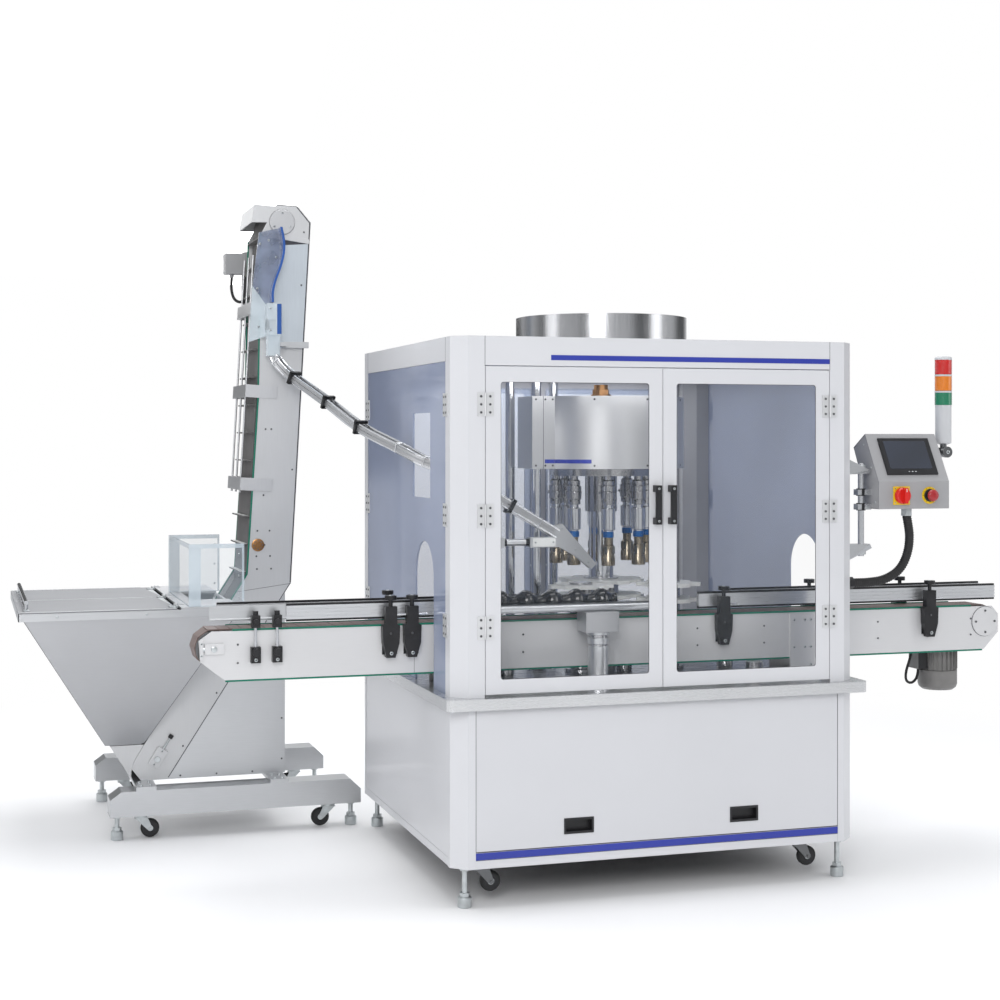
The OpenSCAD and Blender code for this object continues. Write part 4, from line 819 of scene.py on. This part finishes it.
knobs = Shape("rail_knobs", BLACK)
for x, y in [(x, CY0 - 17) for x in NEAR_KNOBS] + [(x, CY1 + 17) for x in FAR_KNOBS]:
    for k in range(6):
        a = math.radians(60 * k + 15)
        knobs.cylinder((x + 14 * math.cos(a), y + 14 * math.sin(a), 984.5),
                       (x + 14 * math.cos(a), y + 14 * math.sin(a), 997.6), 5.8, 12, 1.5)
    knobs.use(ZINC).round((x, y, 998), UP, [(6, 0), (6, 1.0), (5, 1.6)], 20)
    knobs.use(BLACK)
knobs.done(MACHINE, "black_plastic")

bracket_bits = Shape("rail_bracket_screws", ZINC)
for x in NEAR_KNOBS:
    bracket_bits.screw((x, CY0 - 30, 806), FRONT, 6.5)
    bracket_bits.screw((x - 2, CY0 - 30, 872), FRONT, 4.0, DARK_STEEL)
for x in FAR_KNOBS:
    bracket_bits.screw((x, CY1 + 30, 806), REAR, 6.5)
for x in (-594, -523):
    bracket_bits.screw((x, CY0 - 24, 800), FRONT, 6.0)
    bracket_bits.use(BLACK).round((x, CY0 - 24, 826), FRONT, [(13, 0), (14, 3), (14, 10), (11, 13)], 10)
    bracket_bits.use(BLACK).round((x, CY0 - 26, 925), FRONT, [(9, 0), (10, 2), (10, 8), (8, 10)], 10)
bracket_bits.done(MACHINE, "black_plastic", bevel=0.5)

# ------------------------------------------------------------------ control box

PANEL_X, PANEL_Y = (1540, 1819), 7
SLOPE_FOOT = Vector((0, PANEL_Y, 1372))
SLOPE_UP = Vector((0, 97, 167)).normalized()
SLOPE_OUT = Vector((0, -SLOPE_UP.z, SLOPE_UP.y))


def on_slope(x, up, out):
    p = SLOPE_FOOT + SLOPE_UP * up + SLOPE_OUT * out
    return (x, p.y, p.z)


dress("control_box", GREY,
      (BLACK, lambda c, n: 1575 < c.x < 1790 and 0.5 < (c - SLOPE_FOOT).dot(SLOPE_OUT) < 8 and c.z > 1380),
      (YELLOW, lambda c, n: c.y < 6.9 and 1290 < c.z < 1357),
      (ZINC, within(x=(1655, 1699), y=(30, 80), z=(1253, 1275.8))),
      (STEEL, within(x=(1819.2, 1885), y=(130, 141))))
dress("isolator_switch", RED)
dress("estop_button", RED_DARK, (GREY, within(y=(-7.2, 60))))
dress("panel_conduit", RUBBER)
dress("panel_arm", STEEL, (CHROME, within(z=(1110, 1436), x=(1495, 1521))),
      (BLACK, within(x=(1449, 1476), z=(990, 1042))))


def slope_plate(shape, x, up, out, r=4.0):
    """A plate with round corners on the sloping face."""
    ring = round_corners(x, up, r)
    shape.loops([[on_slope(u, v, w) for u, v in ring] for w in out])


face = Shape("panel_face", BLACK)
slope_plate(face, (1581.5, 1781.5), (26.5, 171.5), (5.9, 6.5), 5)
face.use(SCREEN)
slope_plate(face, (1598, 1764), (48, 160), (6.4, 7.0), 2)
face.use(LAMP_GREY)
for x in (1668, 1681, 1694):
    slope_plate(face, (x - 3, x + 3), (35, 38), (6.4, 6.9), 1.2)
face.use(SEAM)
for x in PANEL_X:
    s = 0.35 if x > 1600 else -0.35
    edge = [(9, 1278), (9, 1371), (105, 1536.6), (183, 1490), (153.4, 1434), (118.4, 1278)]
    inner_edge = [(y + (60 - y) * 0.012, z + (1380 - z) * 0.012) for y, z in edge]
    for (a, b), (c, d) in zip(zip(edge, edge[1:] + edge[:1]),
                              zip(inner_edge, inner_edge[1:] + inner_edge[:1])):
        face.loops([[(x + w, *a), (x + w, *b), (x + w, *d), (x + w, *c)] for w in (0, s)])
face.use(DARK_STEEL)
for x in PANEL_X:
    for y, z in ((30, 1300), (104, 1300), (60, 1420), (112, 1500)):
        face.screw((x, y, z), (1 if x > 1600 else -1, 0, 0), 3.4)
for x, z in ((1603, 1298), (1653, 1298), (1603, 1348), (1653, 1348)):
    face.screw((x, 3, z), FRONT, 2.6)
face.done(MACHINE, "box_grey")

ISOLATOR_X, ESTOP_X, BUTTON_Z = 1628, 1740, 1323
marks = Shape("isolator_marks", BLACK)
for a in range(200, 341, 20):
    x, z = around_point(ISOLATOR_X, BUTTON_Z, 30.2, -a)
    marks.box((x - 0.7, 2.7, z - 0.7), (x + 0.7, 3.2, z + 0.7))
for a in range(0, 360, 30):
    x, z = around_point(ESTOP_X, BUTTON_Z, 26, a)
    marks.box((x - 1.0, 3.6, z - 1.0), (x + 1.0, 4.1, z + 1.0))
marks.done(MACHINE, "black_plastic")

knob = Shape("isolator_knob", RED)
knob.round((ISOLATOR_X, 2, BUTTON_Z), FRONT, [(28.8, 0), (28.8, 10), (27.4, 15), (24, 18)], 40)
knob.prism([(1621.2, 1296.2), (1634.8, 1296.2), (1634.8, 1349.8), (1621.2, 1349.8)], "xz", -31.6, -15)
knob.use(WHITE).box((1626.8, -31.9, 1336), (1629.2, -31.5, 1347))
knob.done("isolator", "red_plastic", "isolator_switch", bevel=1.4)

mushroom = Shape("estop_mushroom", RED_DARK)
mushroom.round((ESTOP_X, -28, BUTTON_Z), REAR, [(0.5, 0.1), (8, 0.3), (14, 1.4), (18.6, 4.0), (20.6, 8),
                                                (20.9, 12), (19, 15), (15, 18), (14.8, 20.9)], 48)
mushroom.use(BLACK).round((ESTOP_X, -7.4, BUTTON_Z), REAR, [(13.6, 0), (13.6, 1.8), (7.9, 2.0), (7.9, 77)],
                          32)
mushroom.done("estop", "red_plastic", "estop_button", angle=40)

collar = Shape("control_box_collar", BLACK)
collar.round((ESTOP_X, 4, BUTTON_Z), FRONT, [(22.5, 0), (22.5, 3.2), (20.5, 4.2), (9.2, 4.2), (9.2, 0.4)], 40)
collar.use(ZINC).round((1677, 55, 1276), DOWN, [(19, 21.8), (18.8, 25), (16.4, 26.5)], 24)
collar.done(MACHINE, "black_plastic")

# The corrugated hose from the box to the post
HOSE = [(1677, 55, 1254), (1684, 55, 1218), (1690, 57, 1180), (1688, 60, 1135), (1675, 62, 1093),
        (1655, 64, 1062), (1627, 66, 1040), (1585, 70, 1023), (1536, 73, 1017), (1505, 75, 1016),
        (1475, 75, 1016)]


def curve_point(p0, p1, p2, p3, t):
    """A point of the smooth curve from p1 to p2, which heads from p0 and towards p3."""
    return 0.5 * (2 * p1 + (p2 - p0) * t + (2 * p0 - 5 * p1 + 4 * p2 - p3) * t * t +
                  (3 * p1 - 3 * p2 + p3 - p0) * t ** 3)


def with_ends(points):
    """The points as vectors, with one more laid out straight at each end."""
    pts = [Vector(p) for p in points]
    return [pts[0] * 2 - pts[1]] + pts + [pts[-1] * 2 - pts[-2]]


def spline(points, step):
    """A smooth path through points, cut into steps of about this length."""
    pts = with_ends(points)
    path = []
    for i in range(1, len(pts) - 2):
        p0, p1, p2, p3 = pts[i - 1:i + 3]
        n = max(2, round((p2 - p1).length / step))
        path += [curve_point(p0, p1, p2, p3, k / n) for k in range(n)]
    return path + [pts[-2]]


conduit = Shape("panel_hose", RUBBER)
conduit.tube(spline(HOSE, 2.0), (16.0, 16.0, 14.6, 14.6), 20)
conduit.done(MACHINE, "black_rubber", "panel_conduit", angle=60)

POLE = (1508, 75)
arm_bits = Shape("panel_arm_bits", BLACK, ZINC)
for z in (1283, 1334):
    arm_bits.use(BLACK).cylinder((*POLE, z - 13), (*POLE, z + 13), 17, 28, 1.5)
    arm_bits.box((1508, 60, z - 9), (1540, 90, z + 9))
    arm_bits.use(ZINC).screw((1522, 60, z), FRONT, 4.2)
arm_bits.use(ZINC).round((*POLE, 1410), UP, [(17, 0), (17, 18), (15, 20), (11, 20)], 28)
arm_bits.round((*POLE, 1120), UP, [(11, -4), (17, -4), (17, 12), (15, 14), (11, 14)], 28)
arm_bits.done(MACHINE, "black_plastic", bevel=0.6)

# ------------------------------------------------------------------ signal tower

TOWER = (1866, 120)
FOLD_Z = 1474
mast = Shape("tower_lamps", GREY)
base = (*TOWER, 0)
mast.use(DARK_STEEL).box((TOWER[0] - 9.8, TOWER[1] - 11.8, 1462.2), (TOWER[0] + 9.8, TOWER[1] + 11.8, 1487))
mast.cylinder((TOWER[0], TOWER[1] - 30, FOLD_Z), (TOWER[0], TOWER[1] - 12, FOLD_Z), 19.8, 32, 1.2)
mast.cylinder((TOWER[0], TOWER[1] + 11.8, FOLD_Z), (TOWER[0], TOWER[1] + 24, FOLD_Z), 8, 24)
mast.use(DARK_STEEL).round(base, UP, [(11.8, 1487), (11.8, 1501)], 32)
mast.use(LAMP_GREY).round(base, UP, [(12, 1500), (27.4, 1505.6), (28.6, 1508), (28.6, 1634), (28.9, 1635.5),
                                     (28.9, 1641), (28.4, 1643)], 48)
for mat, z0, z1 in ((LENS_GREEN, 1643, 1687), (LENS_AMBER, 1695, 1746), (LENS_RED, 1754, 1805)):
    r = 30.4
    ribs = [(r - 3, z0 - 1)]
    for k in range(12):
        z = z0 + (z1 - z0) * k / 12
        ribs += [(r - 1.1, z + 0.1), (r, z + 1.4), (r, z + 3.4), (r - 1.1, z + 4.7)]
    mast.use(mat).round(base, UP, ribs + [(r - 3, z1 + 1)], 48)
    mast.use(LAMP_GREY).round(base, UP, [(r - 2, z1), (r + 0.2, z1 + 0.6), (r + 0.2, z1 + 6.2),
                                         (r - 2, z1 + 7)], 48)
mast.use(LAMP_GREY).round(base, UP, [(28, 1811), (30.4, 1811.4), (30.4, 1812.6), (27.5, 1816.4), (20, 1818)],
                          48)
mast.use(ZINC).screw((TOWER[0], TOWER[1] - 30, FOLD_Z), FRONT, 7)
mast.done("tower", "tower_plastic", "signal_tower", angle=40)

# ------------------------------------------------------------------ cap elevator

ELEV_Y = (1420, 1740)
HEAD, BEND, TAIL = Vector((-302, 0, 2377)), Vector((-384, 0, 930)), Vector((-790, 0, 285))
dress("elevator_frame", ELEVATOR)
dress("elevator_belt", BELT)
dress("elevator_drive_pulley", DARK_STEEL)
dress("elevator_tail_pulley", DARK_STEEL)
dress("elevator_guides", STEEL_Z, (GUARD, within(x=(-707, -499), y=(1111, 1765), z=(897, 1131))))
dress("elevator_base", STEEL)
dress("elevator_motor", MOTOR, (RUBBER, within(x=(-452, -378), z=(2080, 2192))),
      (GREY, within(x=(-471, -391), z=(2190, 2286))))

BOSS = (-398, 1104)
wall_bits = Shape("elevator_trim", ZINC)
for y, ny in ((ELEV_Y[0], -1), (ELEV_Y[1], 1)):
    wall_bits.use(STEEL_SATIN).round((HEAD.x, y + ny * 4, HEAD.z), (0, ny, 0),
                                     [(49, 0), (47.5, 1.2), (14, 1.2)], 56)
    for a in (90, 210, 330):
        x, z = around_point(HEAD.x, HEAD.z, 36, a)
        wall_bits.screw((x, y + ny * 5, z), (0, ny, 0), 4.4)
    wall_bits.use(BRASS).round((BOSS[0], y, BOSS[1]), (0, ny, 0),
                               [(25, 0), (25, 3), (22, 4), (12, 4), (11, 6), (2, 6)], 36)
    for a in range(0, 360, 45):
        x, z = around_point(*BOSS, 17, a)
        wall_bits.use(DARK_STEEL).round((x, y + ny * 4, z), (0, ny, 0), [(2.6, 0), (2.4, 0.6)], 10)
    for x, z in ((-215, 2340), (-225, 2130), (-238, 1900), (-345, 1560), (-368, 1560), (-262, 1400),
                 (-376, 1300), (-400, 1160), (-352, 1160), (-372, 1104), (-350, 1060), (-404, 1060),
                 (-346, 1010), (-402, 1010), (-560, 770), (-430, 736), (-690, 560), (-560, 530), (-690, 330)):
        wall_bits.screw((x, y, z), (0, ny, 0), 3.8, DARK_STEEL)
    wall_bits.use(SEAM).round((HEAD.x, y, HEAD.z), (0, ny, 0), [(51.2, 0), (51.2, 0.5)], 56)
    # A thin sheet of painted bluish light on each side wall, standing in for light on the inner face of the
    # far wall
    wall_bits.use(PAINTED_LIGHT_SHEET).plate([(-352, 2312), (-197, 2300), (-221, 1880), (-352, 1880)], y, ny, 0.2)
    wall_bits.use(ELEVATOR).plate([(-352, 2334), (-194, 2312), (-195, 2294), (-352, 2316)], y, ny, 1.6)
    wall_bits.plate([(-262, 1892), (-221, 1886), (-222, 1866), (-262, 1872)], y, ny, 1.6)
    wall_bits.use(SEAM).plate([(-340, 2313), (-199, 2294), (-340, 2283)], y, ny, 0.5)
    for a, b, half in (((-482, 922), (-268, 950), 0.7), ((-270, 954), (-191, 2377), 2.4),
                       ((-191, 2377), (-244, 2440), 2.0), ((-244, 2441), (-324, 2444), 1.2),
                       ((-746, 212), (-270, 952), 1.4)):
        a, b = Vector((a[0], 0, a[1])), Vector((b[0], 0, b[1]))
        d = (b - a).normalized()
        up = Vector((-d.z, 0, d.x)) * half
        line = [a - up, b - up, b + up, a + up]
        wall_bits.plate([(p.x, p.z) for p in line], y, ny, 0.3)
wall_bits.done(MACHINE, "zinc_steel")

edge_strip = Shape("elevator_edge_strip", GREEN)
left_edge = [Vector((x, 0, z)) for x, z in ((-530, 848), (-496, 903), (-440, 990), (-396, 1674),
                                            (-385, 2330))]
for y0, y1 in ((ELEV_Y[0] - 2, ELEV_Y[0] + 7), (ELEV_Y[1] - 7, ELEV_Y[1] + 2)):
    for a, b in zip(left_edge, left_edge[1:]):
        d = (b - a).normalized()
        out = Vector((-d.z, 0, d.x))
        ring = [a - out * 2, b - out * 2, b + out * 4, a + out * 4]
        edge_strip.prism([(p.x, p.z) for p in ring], "xz", y0, y1)
edge_strip.done(MACHINE, "belt_plastic", bevel=0.8)

cleats = Shape("elevator_cleats", WHITE)
ELEV_R = 62
# Height, thickness and pitch of the cleats, four of which stand side by side
CLEAT_H, CLEAT_T, CLEAT_PITCH = 23.8, 5, 110
CLEAT_W, CLEAT_STEP = 67, 69.6
for base_pt, top_pt, margin in ((BEND, HEAD, 40), (TAIL, BEND, 60)):
    run = top_pt - base_pt
    d = run.normalized()
    out = Vector((-d.z, 0, d.x))
    s = 60
    while s < run.length - margin:
        p = base_pt + d * s
        ring = [p + out * (ELEV_R - 1), p + out * (ELEV_R + CLEAT_H),
                p + out * (ELEV_R + CLEAT_H) + d * CLEAT_T, p + out * (ELEV_R - 1) + d * CLEAT_T]
        for k in range(4):
            y0 = ELEV_Y[0] + 22 + k * CLEAT_STEP
            cleats.prism([(q.x, q.z) for q in ring], "xz", y0, y0 + CLEAT_W)
        s += CLEAT_PITCH
cleats.done(MACHINE, "belt_rubber", bevel=1.0)

boot = Shape("elevator_tensioners", STEEL)
incline_d = (BEND - TAIL).normalized()
for y, ny in ((ELEV_Y[0] - 12, -1), (ELEV_Y[1] + 12, 1)):
    boot.use(ZINC).cylinder((TAIL.x, y, TAIL.z), (TAIL.x, y + ny * 6, TAIL.z), 12, 28, 1.0)
    for s in (-22, 36):
        p = TAIL + incline_d * s
        boot.screw((p.x, y, p.z), (0, ny, 0), 4.4)
    a, b = TAIL + incline_d * 44, TAIL + incline_d * 92
    boot.use(ZINC).cylinder((a.x, y - ny * 6, a.z), (b.x, y - ny * 6, b.z), 4.2, 12)
    boot.use(BLACK).cylinder((b.x, y - ny * 6, b.z), tuple(b + incline_d * 16 + Vector((0, y - ny * 6, 0))),
                             9, 20, 1.5)
boot.done(MACHINE, "zinc_steel", bevel=0.6)

# Clear guard box over the hopper
GUARD_X, GUARD_Y = (-706, -500), (1112, 1764)
glass_edges = Shape("guard_box_edges", CLEAR_EDGE)
for z, h in ((898, 2), (1114, 16)):
    glass_edges.box((GUARD_X[0] + 0.2, GUARD_Y[0] + 0.2, z), (GUARD_X[0] + 4.8, GUARD_Y[1] - 0.2, z + h))
    for y in (GUARD_Y[0] + 0.2, GUARD_Y[1] - 4.8):
        glass_edges.box((GUARD_X[0] + 5, y, z), (GUARD_X[1] - 0.2, y + 4.6, z + h))
for y in (GUARD_Y[0] + 0.2, GUARD_Y[1] - 4.8):
    glass_edges.box((GUARD_X[0] + 0.2, y, 900), (GUARD_X[0] + 44, y + 4.6, 1114))
    glass_edges.box((GUARD_X[1] - 8, y, 900), (GUARD_X[1] - 0.2, y + 4.6, 1114))
glass_edges.use(ZINC)
for z in (930, 1010, 1090):
    glass_edges.screw_pair(-520, (GUARD_Y[0] + 0.2, GUARD_Y[1] - 0.2), z)
glass_edges.done(MACHINE, "clear_acrylic")

MOTOR_AXIS = (-345, 1825, 0)
drive = Shape("elevator_motor_fins", MOTOR)
for a in range(0, 360, 15):
    # The cable's box takes the place of some fins
    if 150 < a < 215:
        continue
    d = Vector((*around_point(0, 0, 1, a), 0))
    s = Vector((-d.y, d.x, 0)) * 1.2
    o = Vector(MOTOR_AXIS)
    ring = [o + d * 50 - s, o + d * 56 - s, o + d * 56 + s, o + d * 50 + s]
    drive.loops([[(p.x, p.y, z) for p in ring] for z in (2112, 2268)])
drive.round(MOTOR_AXIS, UP, [(44, 2078.2), (53.2, 2082), (53.2, 2104), (50, 2108)], 40)
drive.use(GREY).box((-471, 1789, 2203), (-391, 1861, 2287))
drive.use(ZINC)
for y in (1796, 1854):
    for z in (2212, 2278):
        drive.screw((-471, y, z), (-1, 0, 0), 3.2)
for x in (-360, -244):
    for z in (2184, 2286):
        drive.screw((x, 1786, z), REAR, 4.4)
drive.done(MACHINE, "motor_grey", bevel=0.8)

# ------------------------------------------------------------------ cap track and chute

dress("cap_track", TRACK, (BLUE_EDGE, lambda c, n: c.y < 1389.8 and c.z > 2050),
      (CLEAR_EDGE, lambda c, n: c.z < 2051 and c.x < -316 and c.y < 1397),
      (STEEL, lambda c, n: c.y > 1396.5 or (c.z < 1905 and c.x > -330)))
track_bits = Shape("cap_track_trim", BLUE_EDGE)
track_bits.box((-336, 1339.4, 1930), (-318.4, 1340.2, 2048))
track_bits.use(CHROME)
for x, z in ((-360, 2300), (-395, 2285), (-330, 2235), (-405, 2110), (-362, 2030), (-362, 1945),
             (-400, 1960)):
    track_bits.screw((x, 1390 if z > 2050 or x < -380 else 1340, z), FRONT, 4.6)
track_bits.done(MACHINE, "clear_acrylic", bevel=0.4)

CHUTE = [(-338, 1374, 1846), (-322, 1358, 1812), (-278, 1292, 1758), (-186, 1092, 1660), (-116, 850, 1564),
         (-40, 560, 1490), (24, 446, 1442), (95, 408, 1414), (172, 398, 1380), (281, 400, 1308),
         (390, 410, 1246), (494, 420, 1186)]
dress("cap_chute", CHROME, (STEEL, lambda c, n: 403 < c.y < 439 and c.x > 391 and 1059 < c.z < 1223),
      (STEEL, lambda c, n: 269 < c.x < 301 and 1139 < c.z < 1177))

chute_parts = Shape("chute_clamps", BLACK)
path = with_ends(CHUTE)
CHUTE_STEPS = 3
CHUTE_END = CHUTE_STEPS * (len(CHUTE) - 1)


def chute_point(i):
    """Point i of the chute's path, which has three steps between its marks, and its directions."""
    def spot(j):
        j = max(0, min(CHUTE_END, j))
        k = min(j // CHUTE_STEPS, len(CHUTE) - 2) + 1
        t = (j % CHUTE_STEPS) / CHUTE_STEPS if j < CHUTE_END else 1.0
        return curve_point(*path[k - 1:k + 3], t)
    d = (spot(i + 1) - spot(i - 1)).normalized()
    s = d.cross(Vector((0, 0.02, 1))).normalized()
    return spot(i), d, s, s.cross(d)


for i in (6, 9, 12, 28):
    c, d, s, u = chute_point(i)
    outer, inner = 25, 13.4
    for sx, lo, hi in ((1, inner, outer), (-1, -outer, -inner)):
        for across, along in ((s, u), (u, s)):
            pts = [c + across * a + along * b for a, b in ((lo, -outer), (hi, -outer), (hi, outer),
                                                           (lo, outer))]
            chute_parts.loops([[tuple(p + d * w) for p in pts] for w in (-6.6, 6.6)])
    chute_parts.use(ZINC)
    for a, b in ((20, 20), (-20, 20), (20, -20), (-20, -20)):
        chute_parts.screw(tuple(c + s * a + u * b - d * 6.6), tuple(-d), 3.0)
    chute_parts.use(BLACK)
chute_parts.use(STEEL_SATIN)
for across, along in ((0, 1), (0, -1), (1, 0)):
    for lo, hi in ((-10.6, -1.2), (1.2, 10.6)):
        rings = []
        for i in range(CHUTE_END + 1):
            c, d, s, u = chute_point(i)
            if across:
                pts = [c + s * a + u * b for a, b in ((lo, -15), (hi, -15), (hi, -13.8), (lo, -13.8))]
            else:
                pts = [c + s * b * along + u * a for a, b in ((lo, 13.8), (hi, 13.8), (hi, 15), (lo, 15))]
            rings.append([tuple(p) for p in pts])
        chute_parts.loops(rings)
chute_parts.use(CHROME)
for i in (2, 15, 18, 21, 24, 31):
    c, d, s, u = chute_point(i)
    for across, along in ((s, u), (u, s)):
        for k in (-1, 1):
            a, b = c + across * 17.5 * k - along * 16, c + across * 17.5 * k + along * 16
            chute_parts.cylinder(tuple(a), tuple(b), 2.2, 10)
chute_parts.done(MACHINE, "polished_steel", bevel=0.4)

arm_trim = Shape("pick_off_trim", WHITE)
arm_trim.prism([(402, 1143), (486, 1143), (486, 1173), (402, 1173)], "xz", 402.6, 404)
arm_trim.use(ZINC)
for x, z in ((412, 1158), (478, 1158), (510, 1205), (560, 1130), (610, 1085)):
    arm_trim.screw((x, 402.6 if x < 490 else 404, z), FRONT, 3.6)
arm_trim.use(ALU).cylinder((306, 424, 1158), (388, 424, 1158), 12.2, 28, 1.0)
arm_trim.use(BLACK)
arm_trim.cylinder((300, 424, 1158), (310, 424, 1158), 12.8, 28, 0.6)
arm_trim.cylinder((380, 424, 1158), (392, 424, 1158), 12.8, 28, 0.6)
arm_trim.round((285, 474, 684), UP, [(22, 0), (22, 5), (18, 8), (18, 26), (15, 28), (11, 28)], 32)
arm_trim.done(MACHINE, "polished_steel", bevel=0.5)

# ------------------------------------------------------------------ hopper and base

dress("hopper", STEEL_SATIN)
dress("hopper_lid", LID, (CHROME, within(x=(-1294, -1276))), (ZINC, within(x=(-760, -730))))
HOP_TOP = (-1313, -514, 1100, 2060)
HOP_LOW = (-985, -840, *ELEV_Y)

hop = Shape("hopper_trim", STEEL)
x0, x1, y0, y1 = HOP_TOP
for lo, hi in (((x0 - 3, y0 - 3, 862), (x1 + 3, y0 - 0.2, 890)),
               ((x0 - 3, y1 + 0.2, 862), (x1 + 3, y1 + 3, 890)),
               ((x0 - 3, y0 - 3, 862), (x0 - 0.2, y1 + 3, 890)),
               ((x1 + 0.2, y0 - 3, 862), (x1 + 3, y1 + 3, 890))):
    hop.box(lo, hi)
hop.use(SEAM)
corners_top = [(x0, y0), (x1, y0), (x1, y1), (x0, y1)]
corners_low = [(HOP_LOW[0], HOP_LOW[2]), (HOP_LOW[1], HOP_LOW[2]), (HOP_LOW[1], HOP_LOW[3]),
               (HOP_LOW[0], HOP_LOW[3])]
for (ax, ay), (bx, by) in zip(corners_top, corners_low):
    hop.tube([(ax, ay, 889), (bx, by, 346)], (0.8,), 6)
hop.use(ZINC)
for x in (-1180, -860, -620):
    hop.round((x, y0 - 3, 876), FRONT, [(5, 0), (4.4, 1.6), (2, 2)], 14)
    hop.round((x, y1 + 3, 876), REAR, [(5, 0), (4.4, 1.6), (2, 2)], 14)
for y in (1180, 1580, 1980):
    for dx in (10, 22):
        for dy in (32, 54):
            hop.screw((-743 + dx, y + dy, 901), UP, 3.0)
hop.use(BLACK).box((-1316, 1240, 868), (-1312.6, 1262, 888))
hop.done(MACHINE, "stainless", bevel=0.5)

lid_trim = Shape("lid_trim", STEEL_SATIN)
lid_trim.use(STEEL)
for y in (1098, 1580, 2052):
    lid_trim.box((-1310, y, 894), (-790, y + 10, 895.6))
lid_trim.use(ZINC)
for y in (1180, 1980):
    lid_trim.round((-1285, y, 894), UP, [(13, 0), (13, 2), (9, 4), (6.2, 5)], 24)
for y in (1180, 1580, 1980):
    for dy in (-14, 12):
        lid_trim.screw((-766, y + dy, 897), UP, 3.0)
lid_trim.done("lid", "stainless", bevel=0.4)

frame_trim = Shape("elevator_base_trim", STEEL)
for y in (1290, 2020):
    for x, s in ((-977, -1), (-14, 1)):
        frame_trim.use(SEAM).box((min(x, x + s * 0.3), y + 2, 96), (max(x, x + s * 0.3), y + 108, 97.2))
frame_trim.use(ZINC)
for x in (-860, -825, -350, -320):
    for y in (1310, 1380, 2040, 2110):
        frame_trim.round((x, y, 205), UP, [(6, 0), (6, 3.6), (5, 4.4)], 6)
for z in (260, 420, 580, 740, 880):
    frame_trim.screw_pair(-304, ELEV_Y, z, 3.8, DARK_STEEL)
for x in (-700, -560, -420):
    frame_trim.screw_pair(x, ELEV_Y, 216, 3.8, DARK_STEEL)
frame_trim.done(MACHINE, "zinc_steel")

# ------------------------------------------------------------------ casters

places = [(-495 + s * 329, y, 39, 35) for y in (1345, 2075) for s in (-1, 1)]
places += [(x + 30, y, 74, 34) for y in (75, 1255) for x in (113, 1263)]
for i, (x, y, z, r) in enumerate(places, 1):
    dress("caster_wheel_%d" % i, RUBBER)
    hub = Shape("wheel_hub_%d" % i, LAMP_GREY)
    lo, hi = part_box("caster_wheel_%d" % i)[:2]
    ya, yb = (lo.y - CORNER.y) * 1000, (hi.y - CORNER.y) * 1000
    for yy, ny in ((ya, -1), (yb, 1)):
        hub.use(BLACK).round((x, yy - ny * 1.0, z), (0, ny, 0),
                             [(r - 9, 0), (r - 10, 1.4), (15, 1.4), (14, 2.2), (7.2, 2.2)], 32)
        hub.use(ZINC).round((x, yy - ny * 0.5, z), (0, ny, 0), [(11, 0), (11, 2.1), (9.5, 2.6), (7.4, 2.6)],
                            24)
    hub.done("wheel_%d" % i, "black_rubber")
